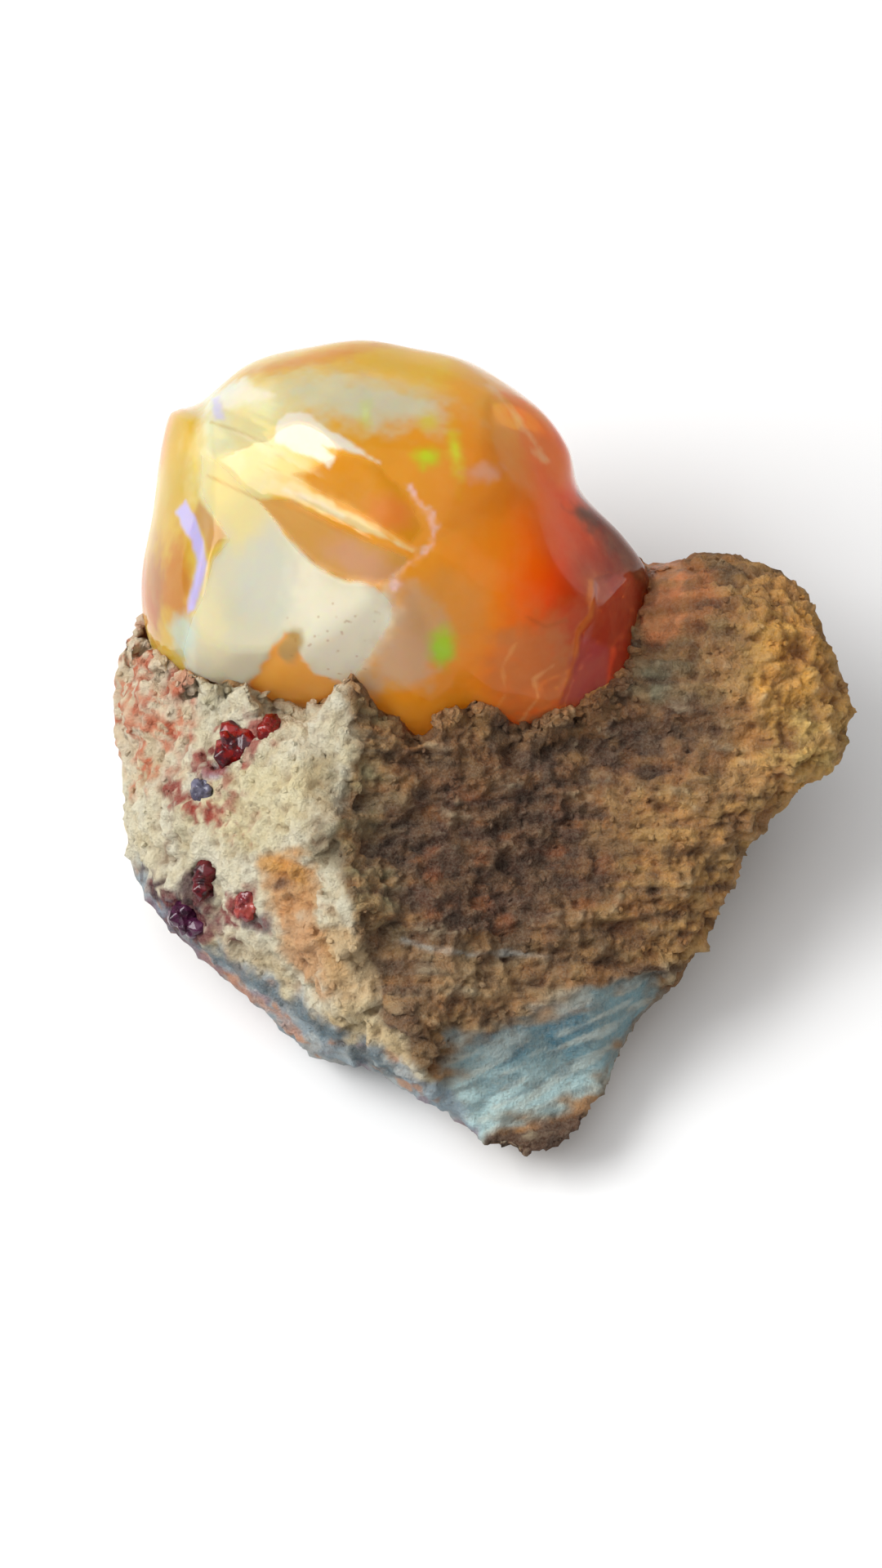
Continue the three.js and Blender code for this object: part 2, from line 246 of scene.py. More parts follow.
def closed_curve(outline):
    """Points of a smooth closed curve through an outline's points."""
    p = np.array(outline, dtype=float)
    a, b, c, d = (np.roll(p, shift, axis=0)[:, None] for shift in (1, 0, -1, -2))
    t = (np.arange(CURVE_STEPS) / CURVE_STEPS)[None, :, None]
    bend = (2 * a - 5 * b + 4 * c - d) * t**2 + (3 * b - a - 3 * c + d) * t**3
    return (0.5 * (2 * b + (c - a) * t + bend)).reshape(-1, 2)


def polar_rim(outline, middle):
    """Angles and distances of an outline about its middle, in rising order of angle."""
    away = closed_curve(outline) - middle[:2]
    angles = np.arctan2(away[:, 1], away[:, 0])
    order = np.argsort(angles)
    return angles[order], np.hypot(away[:, 0], away[:, 1])[order]


OPAL_RIM = polar_rim(OPAL_OUTLINE, OPAL_CENTRE)


def smooth_min(a, b, softness):
    overlap = np.maximum(softness - np.abs(a - b), 0) / softness
    return np.minimum(a, b) - overlap**2 * softness / 4


def dome_reach(directions):
    """Distance from the opal's centre to its unbroken dome along unit directions."""
    x, y, z = directions.T
    rim = np.interp(np.arctan2(y, x), *OPAL_RIM, period=2 * math.pi)
    depth = np.where(z > 0, OPAL_FRONT, OPAL_REAR)
    fullness = (np.hypot(x, y) / rim) ** OPAL_FULLNESS + (np.abs(z) / depth) ** OPAL_FULLNESS
    wave_across = np.sin(SWELL_ACROSS[0] * x + SWELL_ACROSS[1])
    wave_up = np.cos(SWELL_UP[0] * y + SWELL_UP[1])
    return fullness ** (-1 / OPAL_FULLNESS) + DOME_SWELL * wave_across * wave_up * z


def dome_support(normal):
    """How far the dome stands out along a direction."""
    step = math.pi / HALF_TURN_STEPS
    down, round_ = np.meshgrid(np.arange(HALF_TURN_STEPS + 1) * step, np.arange(2 * HALF_TURN_STEPS) * step)
    grid = np.stack([np.sin(down) * np.sin(round_), np.cos(down), np.sin(down) * np.cos(round_)], -1)
    grid = grid.reshape(-1, 3)
    return np.max(grid @ normal * dome_reach(grid))


def opal_reach(directions):
    """Distance from the opal's centre to its broken skin along unit directions."""
    reach = dome_reach(directions)
    for facing, depth, softness in OPAL_FLATS:
        normal = unit(facing)
        along = directions @ normal
        flat = (dome_support(normal) - depth) / np.maximum(along, LEAST_FACING)
        reach = np.where(along > LEAST_FACING, smooth_min(reach, flat, softness), reach)
    for towards, radius, depth in OPAL_SHELLS:
        way = unit(towards)
        at = way * (dome_reach(way[None])[0] + radius - depth)
        middle = directions @ at
        inside = middle**2 - at @ at + radius**2
        shell = middle - np.sqrt(np.maximum(inside, 0))
        reach = np.where((middle > 0) & (inside > 0), smooth_min(reach, shell, SHELL_SOFTNESS), reach)
    x, y = (OPAL_CENTRE + directions * reach[:, None])[:, :2].T
    seam_x, seam_y = np.array(SEAM)[::-1].T
    beyond = (np.interp(y, seam_y, seam_x) - x) / SEAM_WIDTH
    return reach - SEAM_STEP * ramp(directions[:, 2], 0, SEAM_FADE) * ramp(beyond, -1, 1)


def opal_gap(points):
    """How far points of the show face's frame stand outside the opal's skin."""
    away = points - OPAL_CENTRE
    distance = np.linalg.norm(away, axis=1)
    return distance - opal_reach(away / np.maximum(distance, 1e-6)[:, None])


# ---- drawn regions and their ragged edges ----
NOISE_CELLS = 32  # each way, after which the smooth noise repeats
FAR = 1e9


def wander(points, size, seed):
    """Smooth noise from -1 to 1 with lumps of one size, or of a size along each axis."""
    table = np.random.default_rng(seed).uniform(-1, 1, (NOISE_CELLS,) * 3)
    p = np.asarray(points) / size
    cell = np.floor(p).astype(int)
    t = p - cell
    t = t * t * (3 - 2 * t)
    out = np.zeros(len(p))
    for corner in np.ndindex(2, 2, 2):
        share = np.prod(np.where(corner, t, 1 - t), axis=1)
        out += share * table[tuple(((cell + corner) % NOISE_CELLS).T)]
    return out


def turned(points, degrees):
    """Points of the face turned about z, so that a stretched pattern can run along a direction."""
    c, s = math.cos(math.radians(degrees)), math.sin(math.radians(degrees))
    x, y, z = np.asarray(points).T
    return np.stack([x * c + y * s, -x * s + y * c, z], -1)


# Each shape below is a function that gives the distance of points inside its edge.
def spot(x, y, half_x, half_y, turn=0.0):
    """An ellipse on the face."""
    def inside(points):
        dx, dy = turned(points - np.array((x, y, 0)), turn)[:, :2].T
        return (1 - np.hypot(dx / half_x, dy / half_y)) * min(half_x, half_y)
    return inside


def to_side(points, a, b):
    """Distance of points from a straight side from a to b."""
    side = b - a
    along = np.clip(((points - a) @ side) / (side @ side), 0, 1)
    return np.linalg.norm(points - a - along[:, None] * side, axis=1)


def area(*corners):
    """A straight-sided outline on the face."""
    def inside(points):
        p = np.asarray(points)[:, :2]
        nearest = np.full(len(p), FAR)
        within = np.zeros(len(p), dtype=bool)
        for a, b in zip(np.array(corners), np.roll(corners, -1, axis=0)):
            nearest = np.minimum(nearest, to_side(p, a, b))
            crosses = (a[1] > p[:, 1]) != (b[1] > p[:, 1])
            meets = a[0] + (p[:, 1] - a[1]) * (b[0] - a[0]) / ((b[1] - a[1]) or 1 / FAR)
            within ^= crosses & (p[:, 0] < meets)
        return np.where(within, nearest, -nearest)
    return inside


def line(half_width, *corners):
    """A thin open line on the face."""
    def inside(points):
        p = np.asarray(points)[:, :2]
        rows = np.array(corners)
        return half_width - np.minimum.reduce([to_side(p, a, b) for a, b in zip(rows, rows[1:])])
    return inside


def mask(points, shape, edge, ragged=0.0, size=0.9, seed=1):
    """1 inside a shape, 0 outside, over an edge width, with its edge broken up by a ragged depth."""
    depth = shape(points)
    if ragged:
        finer = wander(points, np.multiply(size, 0.45), seed + 50)
        depth = depth + ragged * (wander(points, size, seed) + 0.5 * finer)
    return eased(0.5 + depth / edge)


def worms(points, size, width, seed):
    """Thin wriggling lines."""
    return eased(1.4 - np.abs(wander(points, size, seed)) / width)


def layered(shades, amount, over):
    """Shades with a share of a colour, or of other shades, laid over them."""
    other = np.array(colour(over)[:3]) if isinstance(over, str) else over
    return shades + np.clip(amount, 0, 1)[:, None] * (other - shades)


def graded(place, stops):
    """Shades that change by place, from a list of places and their colours."""
    at = np.array([stop for stop, _ in stops])
    return np.stack([np.interp(place, at, [colour(code)[i] for _, code in stops]) for i in range(3)], -1)


def even(points, code):
    return np.tile(colour(code)[:3], (len(points), 1))


def touched(shades, points, touches, size, seed, where=1.0):
    """Shades with touches laid over them in turn: colour, strength, shape, edge width, raggedness."""
    for index, (code, strength, shape, edge, ragged) in enumerate(touches):
        cover = mask(points, shape, edge, ragged, size, seed + index)
        shades = layered(shades, strength * where * cover, code)
    return shades


def flecked(shades, points, flecks, where=1.0):
    """Shades with flecks laid over them in turn: colour, strength, size, gain, shift, order of chance."""
    for code, strength, size, gain, shift, seed in flecks:
        cover = eased(wander(points, size, seed) * gain + shift)
        shades = layered(shades, strength * where * cover, code)
    return shades


# ---- materials ----
def by_size(group, size):
    """Object coordinates, and the scale that gives a pattern its size in millimetres."""
    coords = node(group, "ShaderNodeTexCoord").outputs["Object"]
    return {"Vector": coords, "Scale": maths(group, "DIVIDE", PER_METRE, size)}


def relief_group():
    """Fine granular height and colour speckle, shared by everything stony."""
    group, given, result = shader_group(
        "granular_relief", {"Grain size": 0.5, "Roughness of grain": 0.7}, ["Height", "Speckle"])
    placed = by_size(group, given["Grain size"])
    coarse = node(group, "ShaderNodeTexNoise", {
        **placed, "Detail": 6.0, "Roughness": given["Roughness of grain"]}).outputs[0]
    cells = node(group, "ShaderNodeTexVoronoi", placed).outputs["Distance"]
    fill(group, result, {"Height": plus(group, coarse, times(group, cells, 0.35)),
                         "Speckle": spread(group, coarse, 0.35, 0.68)})
    return group


def blotch_group():
    """Patchy mask of a chosen size."""
    group, given, result = shader_group("blotches", {"Size": 4.0, "Low": 0.45, "High": 0.6}, ["Mask"])
    pattern = node(group, "ShaderNodeTexNoise", {
        **by_size(group, given["Size"]), "W": 0.0, "Detail": 5.0, "Roughness": 0.62}, noise_dimensions="4D")
    fill(group, result, {"Mask": spread(group, pattern.outputs[0], given["Low"], given["High"])})
    return group


def glassy_group():
    """Broken-glass skin: shell ripples, fine hackle and a patchy polish."""
    group, given, result = shader_group("glassy_skin", {"Ripple spacing": 0.9}, ["Height", "Polish"])
    placed = by_size(group, given["Ripple spacing"])
    fine = node(group, "ShaderNodeTexNoise", {**placed, "Detail": 3.0}).outputs[0]
    swell = node(group, "ShaderNodeTexNoise", {**placed, "Scale": 260.0, "Detail": 2.0}).outputs[0]
    fill(group, result, {"Height": plus(group, swell, times(group, fine, 0.12)),
                         "Polish": spread(group, swell, 0.35, 0.7)})
    return group


RELIEF = relief_group()
BLOTCHES = blotch_group()
GLASSY = glassy_group()


def bumped(tree, height, strength, distance):
    return node(tree, "ShaderNodeBump", {
        "Strength": strength, "Distance": distance, "Height": height}).outputs[0]


def rock_material():
    made, tree, shader = new_material("volcanic_rock")
    grain = placed_group(tree, RELIEF, grain_size=0.6, roughness_of_grain=0.7)
    fine = placed_group(tree, RELIEF, grain_size=0.2, roughness_of_grain=0.75)
    relief = painted(tree, "relief")
    warmer = placed_group(tree, BLOTCHES, size=1.6, low=0.42, high=0.62)["Mask"]
    # Painted shade where the relief dips and in the gaps between grains.
    hollow_shade = minus(tree, 1.0, spread(tree, relief, -0.7, 0.05))
    gap_shade = minus(tree, 1.0, spread(tree, grain["Height"], 0.4, 0.66))
    shade = painted(tree, "colour_and_painted_light", "Color")
    # Laid over the stored colour in turn: warm blotches, a painted highlight on raised relief, painted shade
    # where the relief dips and between grains, and pale speckle.
    for share, strength, code, blend in (
            (warmer, 0.35, "#b87a44", "SOFT_LIGHT"), (spread(tree, relief, 0.1, 0.7), 0.3, "#ffecc0", "MIX"),
            (hollow_shade, 0.75, "#94683f", "MULTIPLY"), (gap_shade, 0.35, "#8a6444", "MULTIPLY"),
            (fine["Speckle"], 0.12, "#fff2d4", "MIX")):
        shade = mixed(tree, times(tree, share, strength), shade, colour(code), blend)
    dry = spread(tree, fine["Height"], 0.3, 0.9, 0.78, 0.98)
    both = plus(tree, grain["Height"], times(tree, fine["Height"], 0.5))
    fill(tree, shader, {
        "Base Color": shade, "Roughness": minus(tree, dry, times(tree, painted(tree, "gloss"), 0.5)),
        "Normal": bumped(tree, both, 1.0, 0.5 * MM)})
    return made


def opal_material():
    made, tree, shader = new_material("fire_opal")
    skin = placed_group(tree, GLASSY, ripple_spacing=0.9)
    cloud = placed_group(tree, BLOTCHES, size=3.5, low=0.35, high=0.7)["Mask"]
    body = painted(tree, "colour_and_painted_light", "Color")
    shade = mixed(tree, times(tree, cloud, 0.3), body, mixed(tree, 0.25, body, colour("#f6d9a0")))
    polish = spread(tree, skin["Polish"], 0.0, 1.0, 0.04, 0.12)
    # The body colour also goes to the emission: a faint painted glow, standing in for light that passes
    # through the opal.
    fill(tree, shader, {
        "Base Color": shade, "Emission Color": shade, "Emission Strength": 0.1,
        "Roughness": plus(tree, polish, times(tree, painted(tree, "matt"), 0.3)),
        "IOR": 1.42, "Specular IOR Level": 0.05, "Specular Tint": (1.0, 0.6, 0.3, 1),
        "Coat Weight": painted(tree, "sheen"), "Coat Roughness": 0.06, "Transmission Weight": 0.5,
        "Subsurface Weight": 0.8, "Subsurface Radius": (1.0, 0.45, 0.15), "Subsurface Scale": 2 * MM,
        "Normal": bumped(tree, skin["Height"], 0.25, 0.2 * MM)})
    amber = node(tree, "ShaderNodeVolumeAbsorption", {"Color": (0.97, 0.8, 0.1, 1), "Density": 30.0})
    output = next(n for n in tree.nodes if n.type == "OUTPUT_MATERIAL")
    fill(tree, output, {"Volume": amber.outputs[0]})
    return made


def patchy_glass(name, light, dark, patches, ripples, polish, relief, clear):
    """A small glassy piece of two colours: patches are their size and levels, clear its plain values."""
    made, tree, shader = new_material(name)
    size, low, high = patches
    share = placed_group(tree, BLOTCHES, size=size, low=low, high=high)["Mask"]
    skin = placed_group(tree, GLASSY, ripple_spacing=ripples)
    fill(tree, shader, {
        "Base Color": mixed(tree, share, colour(light), colour(dark)),
        "Roughness": spread(tree, skin["Polish"], 0.0, 1.0, *polish),
        "Normal": bumped(tree, skin["Height"], 0.3, relief * MM), **clear})
    return made


def bleb_material(name, light, dark):
    return patchy_glass(name, light, dark, (0.9, 0.42, 0.6), 0.4, (0.06, 0.25), 0.2,
                        {"IOR": 1.45, "Transmission Weight": 0.5})


def flake_material(name, light, dark):
    return patchy_glass(name, light, dark, (0.8, 0.4, 0.62), 0.3, (0.2, 0.45), 0.1, {})


# ---- the opal ----
# Body colour from the yellow left side to the garnet right side, by place across the face.
FIRE = [
    (-20, "#cfa61e"), (-16, "#dec658"), (-12, "#e8bc3c"), (-8, "#e8a82c"), (-3, "#eca02c"), (1, "#ee8c1a"),
    (3, "#f66a00"), (4.8, "#f04c00"), (6.2, "#c43804"), (7.6, "#8e2606"), (10.5, "#581006"),
]
CREAM_FACE = area(
    (-17.0, 17.6), (-15.4, 16.6), (-13.5, 14.7), (-12.4, 13.3), (-11.9, 12.6), (-11.0, 11.6),
    (-9.8, 10.5), (-8.2, 9.8), (-6.4, 9.4), (-5.3, 8.2), (-5.6, 7.1), (-6.6, 5.4), (-8.2, 3.3), (-9.4, 2.0),
    (-18.0, 3.0), (-18.2, 5.6), (-17.6, 7.6), (-16.8, 9.0), (-16.2, 11.0), (-15.3, 12.3), (-17.0, 15.0))
TAN_FACE = area(
    (-13.6, 14.7), (-11.4, 14.6), (-9.1, 13.2), (-6.3, 11.9), (-4.4, 11.1), (-5.2, 9.8), (-6.3, 9.6),
    (-8.2, 9.8), (-10.0, 10.7), (-11.1, 11.8), (-12.5, 13.5))
UPPER_TONGUE = area(
    (-12.5, 18.0), (-12.5, 18.9), (-11.8, 19.9), (-10.9, 20.0), (-10.0, 19.4), (-9.1, 18.7), (-8.2, 18.2),
    (-7.3, 17.6), (-6.1, 16.7), (-7.5, 17.3), (-8.6, 17.6), (-9.6, 17.8), (-8.9, 17.1), (-9.2, 16.5),
    (-10.0, 17.0), (-11.1, 17.5), (-11.9, 17.8))
LOWER_TONGUE = area(
    (-12.6, 15.8), (-11.4, 15.6), (-9.9, 14.9), (-8.4, 13.9), (-6.3, 12.8), (-4.2, 11.4), (-6.3, 12.35),
    (-8.2, 13.15), (-9.6, 13.9), (-11.0, 14.5), (-12.8, 15.0))
ORANGE_WEDGE = area(
    (-11.3, 16.1), (-9.9, 16.5), (-8.4, 17.3), (-6.3, 16.7), (-4.5, 14.8), (-3.6, 12.8), (-4.3, 11.9),
    (-6.3, 13.1), (-8.2, 14.3), (-10.2, 15.3))
BASE_WEDGE = area(
    (-14.6, 1.6), (-14.2, 3.6), (-13.4, 4.5), (-11.9, 6.7), (-11.0, 6.5), (-10.8, 5.0), (-10.1, 4.2),
    (-8.6, 3.7), (-7.6, 3.2), (-8.6, 1.0))
SEAM_GLINT = area(
    (-18.6, 14.1), (-18.0, 14.8), (-17.4, 13.8), (-16.8, 12.2), (-16.6, 10.9), (-16.9, 9.6), (-17.3, 8.1),
    (-17.8, 7.9), (-17.5, 9.6), (-17.2, 10.9), (-17.5, 12.3), (-18.2, 13.2))
GARNET_FACE = area(
    (6.8, 9.8), (6.5, 7.7), (5.8, 6.8), (5.6, 5.0), (4.7, 2.4), (7.0, 0.4), (12, 4.0), (11, 9), (9, 10.5))
HEALED_CRACK = [
    (-4.3, 15.2), (-3.8, 14.2), (-3.1, 13.6), (-2.9, 12.9), (-3.0, 11.9), (-3.4, 11.3), (-4.4, 10.7),
    (-5.0, 10.1), (-5.2, 9.2)]
TAN_TILT = 0.12  # how much the tan face leans from its neighbours
STREAK_TURN = -28.0  # degrees that the hackle streaks run across the face

# Laid over the body colour in this order: colour, strength, shape, edge width, raggedness. Rows noted below
# are painted highlights and reflections.
OPAL_TOUCHES = [
    ("#e8dc9c", 0.8, spot(-11.6, 21.2, 2.6, 1.4, 12), 1.6, 0.4),
    ("#d6dcbc", 0.9, spot(-7.2, 20.9, 5.0, 1.7, -4), 2.6, 0.6),
    ("#d6d8bc", 0.75, spot(-5.4, 20.8, 2.2, 1.3, -10), 1.8, 0.4),
    ("#ecc650", 0.85, spot(-2.8, 23.0, 6.6, 1.9, -12), 1.8, 0.4),
    ("#f2a83c", 0.7, spot(0.6, 20.6, 3.4, 2.2, -36), 1.8, 0.4),
    ("#f87404", 0.85, area((1.0, 21.6), (3.6, 20.6), (6.0, 16.6), (4.6, 15.6), (2.4, 18.0)), 1.4, 0.3),
    ("#dd8c40", 0.7, spot(-10.6, 23.4, 4.4, 0.4, 13), 0.7, 0.15),
    ("#cfb02c", 0.85, area((-19.8, 20.6), (-17.3, 21.2), (-17.1, 14.6), (-18.2, 15.2), (-20.4, 13.6)),
     1.0, 0.3),
    # A painted highlight on the upper left.
    ("#dae6c2", 0.95, area((-17.0, 21.6), (-14.0, 22.0), (-12.0, 20.4), (-12.2, 17.4), (-12.6, 15.4),
                           (-13.6, 14.4), (-16.8, 13.2)), 1.2, 0.3),
    ("#e2d897", 0.7, area((-16.0, 20.6), (-12.6, 20.0), (-10.4, 17.0), (-10.6, 15.4), (-14, 14.8)), 1.4, 0.4),
    # A small painted glint.
    ("#e9efdc", 0.9, area((-16.4, 21.2), (-14.6, 22.2), (-12.6, 21.1), (-14.4, 20.6), (-15.4, 20.2)),
     0.6, 0.2),
    ("#d4900e", 0.95, ORANGE_WEDGE, 0.5, 0.2),
    ("#e07c3c", 0.6, spot(-5.6, 13.8, 1.4, 0.9, -20), 1.0, 0.2),
    # The cream face: partly the milky skin of the break, partly a painted reflection of the key light.
    ("#d6dbc4", 0.95, CREAM_FACE, 0.35, 0.16),
    ("#e4de9e", 0.95, area((-17.4, 18.6), (-13.2, 15.4), (-12.7, 13.8), (-14.4, 11.8), (-15.4, 12.4),
                           (-17.4, 14.8)), 2.2, 0.3),
    ("#ccd8cc", 0.7, spot(-12.8, 9.6, 2.0, 2.6), 1.6, 0.3),
    # The lighter lower right of the cream face: partly milky skin, partly painted reflection.
    ("#eef2de", 0.85, area((-11.2, 11.4), (-9.4, 9.9), (-6.2, 9.2), (-5.0, 7.8), (-6.6, 4.8), (-8.8, 3.0),
                           (-11.4, 5.4)), 2.6, 0.5),
    ("#f0ecb8", 0.5, spot(-16.4, 7.6, 0.9, 2.8, 10), 1.2, 0.2),
    ("#cf9e52", 0.92, TAN_FACE, 0.3, 0.1),
    ("#cfa184", 0.75, spot(-7.4, 10.9, 2.2, 0.9, -28), 1.0, 0.2),
    ("#e09a3a", 0.6, line(0.14, (-11.6, 14.3), (-9.4, 13.3), (-6.2, 11.9), (-4.6, 11.2)), 0.4, 0.15),
    # The white upper tongue is a painted highlight on the hackle; the pale lower tongue and the thin pale
    # line after it are partly the opal's pale yellow, partly painted highlights.
    ("#eeeede", 0.95, UPPER_TONGUE, 0.3, 0.18),
    ("#ebe0ac", 0.85, LOWER_TONGUE, 0.35, 0.16),
    ("#f4f0da", 0.7, line(0.1, (-11.8, 15.2), (-9.8, 14.4), (-8.4, 13.6)), 0.4, 0.15),
    ("#f0cf86", 0.7, line(0.07, (-8.6, 14.0), (-6.2, 12.9), (-4.2, 11.5)), 0.25, 0.08),
    ("#b09a4c", 0.6, line(0.06, (-16.4, 19.5), (-14.4, 18.7), (-12.6, 17.8)), 0.22, 0.06),
    ("#c09a4c", 0.55, line(0.05, (-16.6, 16.2), (-15.0, 15.4), (-13.5, 14.7)), 0.2, 0.06),
    ("#fcac38", 0.95, BASE_WEDGE, 0.35, 0.15),
    ("#a89a68", 0.8, spot(-11.4, 5.9, 0.7, 1.0, -20), 0.6, 0.15),
    ("#a96c4a", 0.8, spot(-20.2, 9.6, 0.9, 3.2), 0.9, 0.3),
    ("#c27428", 0.8, spot(-18.5, 9.8, 0.9, 2.6), 0.9, 0.25),
    ("#b8442c", 0.6, spot(-20.3, 8.2, 0.5, 1.2), 0.5, 0.3),
    ("#c79a62", 0.85, area((-17.1, 14.7), (-15.4, 12.5), (-16.6, 11.4), (-16.8, 12.5), (-17.4, 13.8)),
     0.3, 0.1),
    ("#c3c0fb", 0.95, SEAM_GLINT, 0.3, 0.1),
    # A painted lilac highlight at the top of the seam.
    ("#c3c9fb", 0.8, area((-16.5, 21.1), (-16.0, 21.2), (-15.6, 19.7), (-16.2, 19.6)), 0.4, 0.1),
    ("#b9d6c6", 0.8, spot(-18.1, 6.6, 0.8, 1.2, 10), 0.8, 0.2),
    ("#cfb699", 0.8, area((-5.0, 9.2), (-3.2, 9.4), (-2.0, 6.4), (-3.2, 3.6), (-7.6, 3.0), (-6.4, 5.3),
                          (-5.4, 7.0), (-5.1, 8.1)), 1.5, 0.5),
    ("#cc9c58", 0.5, spot(-2.2, 8.0, 2.4, 2.2), 2.0, 0.3),
    ("#ea961c", 0.8, spot(-3.8, 2.2, 3.4, 1.1), 0.9, 0.3),
    ("#c47a40", 0.75, spot(3.0, 4.4, 2.6, 3.2, -10), 2.6, 0.8),
    ("#e8b49c", 0.75, spot(0.0, 16.2, 1.0, 0.55, 10), 0.8, 0.2),
    ("#f8c488", 0.65, line(0.16, (0.4, 21.8), (1.6, 20.4), (3.0, 18.6), (3.8, 17.2)), 0.5, 0.2),
    ("#a83428", 0.85, GARNET_FACE, 0.35, 0.12),
    ("#ae4654", 0.75, area((5.8, 6.6), (7.8, 5.8), (7.7, 2.2), (4.9, 2.6)), 0.7, 0.15),
    ("#e04a30", 0.85, line(0.14, (8.0, 5.7), (7.75, 4.2), (7.7, 2.4)), 0.35, 0.1),
    # Pale orange lines along small ridges: painted highlights.
    ("#f08c3c", 0.5, line(0.12, (6.6, 9.8), (6.5, 7.7), (5.8, 6.7), (5.6, 5.0), (4.7, 3.0)), 0.4, 0.14),
    ("#f2b070", 0.6, line(0.07, (2.4, 1.4), (3.4, 2.8), (3.1, 3.9), (4.3, 4.7)), 0.25, 0.1),
    ("#f0a860", 0.5, line(0.06, (0.6, 1.6), (1.4, 3.0), (1.2, 4.6), (2.0, 6.0)), 0.25, 0.12),
    ("#a8501c", 0.5, line(0.06, (2.6, 7.6), (3.8, 7.0), (5.0, 7.4), (5.9, 7.0)), 0.25, 0.1),
    ("#3c140e", 0.6, area((5.4, 14.6), (6.8, 14.4), (8.6, 12.8), (10.2, 10.6), (9.6, 9.6), (8.2, 11.6),
                          (6.4, 13.2)), 0.9, 0.35),
    ("#30161a", 0.75, spot(6.2, 14.0, 0.9, 0.4, -25), 0.6, 0.2),
    ("#4a1210", 0.8, line(0.35, (6.2, 15.4), (8.4, 12.9), (9.9, 10.9), (10.3, 9.0)), 0.6, 0.1),
]
# Clouds in the back of the opal: size, how rare, order of chance, colour.
REAR_CLOUDS = [(6.0, -0.2, 15, "#f0cf6e"), (4.6, 0.0, 16, "#e4803a"), (3.4, 0.3, 17, "#efe6bc"),
               (5.0, 0.25, 19, "#b8481c")]
# How far the main faces are cut back (or stand out, below zero), and over what edge.
FACE_STEPS = [(CREAM_FACE, 0.1, 0.8), (TAN_FACE, 0.1, 0.7), (UPPER_TONGUE, -0.05, 0.8),
              (LOWER_TONGUE, -0.05, 0.8), (BASE_WEDGE, 0.12, 0.5), (GARNET_FACE, 0.14, 0.6)]
# How strongly the main faces shine, and over what edge.
FACE_SHINE = [(0.05, CREAM_FACE, 0.8), (0.02, TAN_FACE, 0.6), (0.5, UPPER_TONGUE, 0.5),
              (0.02, ORANGE_WEDGE, 0.8), (0.06, LOWER_TONGUE, 0.5), (0.8, SEAM_GLINT, 0.4),
              (0.2, GARNET_FACE, 0.6)]
FACE_DULLNESS = [(1.0, CREAM_FACE, 0.6), (0.9, TAN_FACE, 0.5), (1.4, ORANGE_WEDGE, 1.0)]
FLAKE_COVER = 0.4  # how deep a sealed flake lies under the skin
FLAKE_HALF_THICKNESS = 0.12
FLAKE_START = 8.0  # height above the face from which a flake sinks to its place
SINKING_STEPS = 12
FLAKE_WOBBLE = 0.08 * MM
WOBBLES_PER_METRE = 1500
FLASHES = [  # colour, place, half sizes, turn
    ("#b8e010", -3.4, 17.1, 0.7, 0.5, 0), ("#d2e83a", -1.6, 17.4, 0.28, 0.95, 8),
    ("#a2d424", -2.4, 5.8, 0.85, 1.05, -8), ("#cfe08a", -7.0, 19.6, 0.28, 0.65, 0),
    ("#dcc850", -3.2, 19.3, 0.5, 0.5, 0),
]
BEADS_IN_CRACK = 17
SPHERE_LEVELS = 6  # subdivisions of the sphere from which the opal's skin is made
SHOWING_LEVELS = 2  # more of them where it shows
SHOWING_FROM = 0.05  # height on the sphere of radius one above which it shows
STREAKED_ZONE = area((-16.5, 20.5), (-11.5, 20.5), (-3.6, 12.0), (-5.0, 10.4), (-14.0, 14.6))
# Where the painted hackle highlights lie.
HACKLE_HIGHLIGHT_ZONE = area((-16.6, 20.0), (-12.0, 17.6), (-4.0, 11.6), (-4.6, 12.8), (-12.0, 16.6))


def opal_relief(points):
    """Fine steps, hackle and ripples of the broken skin, in millimetres."""
    along = turned(points, STREAK_TURN)
    hackle = wander(along, (5.0, 0.42, 2.0), 3) + 0.6 * wander(along, (3.0, 0.2, 1.0), 4)
    relief = 0.02 * hackle * mask(points, STREAKED_ZONE, 1.6)
    relief = relief + 0.05 * wander(points, 3.2, 5) + 0.008 * wander(points, 0.9, 6)
    for shape, depth, edge in FACE_STEPS:
        relief = relief - depth * mask(points, shape, edge)
    across = (points - np.array((-9.0, 12.2, 0))) @ unit((0.47, 0.88, 0))
    relief = relief + TAN_TILT * across * mask(points, TAN_FACE, 0.7)
    behind = ramp(points[:, 2], -1.0, -3.0)
    ripples = 0.14 * np.abs(wander(points, 4.2, 7)) + 0.02 * wander(points, (0.6, 1.8, 1.8), 8)
    return relief * (1 - behind) + ripples * behind


def opal_mesh():
    """The opal's skin, finer where it shows, and its points in the face's frame."""
    shape = bmesh.new()
    bmesh.ops.create_icosphere(shape, subdivisions=SPHERE_LEVELS, radius=1)
    for _ in range(SHOWING_LEVELS):
        showing = [e for e in shape.edges if all(v.co.z > SHOWING_FROM for v in e.verts)]
        bmesh.ops.subdivide_edges(shape, edges=showing, cuts=1, use_grid_fill=True)
        bmesh.ops.triangulate(shape, faces=[f for f in shape.faces if len(f.verts) > 3])
    mesh = mesh_from(shape, "opal")
    directions = per_vertex(mesh)
    directions /= np.linalg.norm(directions, axis=1)[:, None]
    reach = opal_reach(directions)
    reach += SEAT_FILL + opal_relief(OPAL_CENTRE + directions * reach[:, None])
    points = OPAL_CENTRE + directions * reach[:, None]
    move_vertices(mesh, carried(points, FACE_TO_ROW))
    mesh.shade_smooth()
    return mesh, points


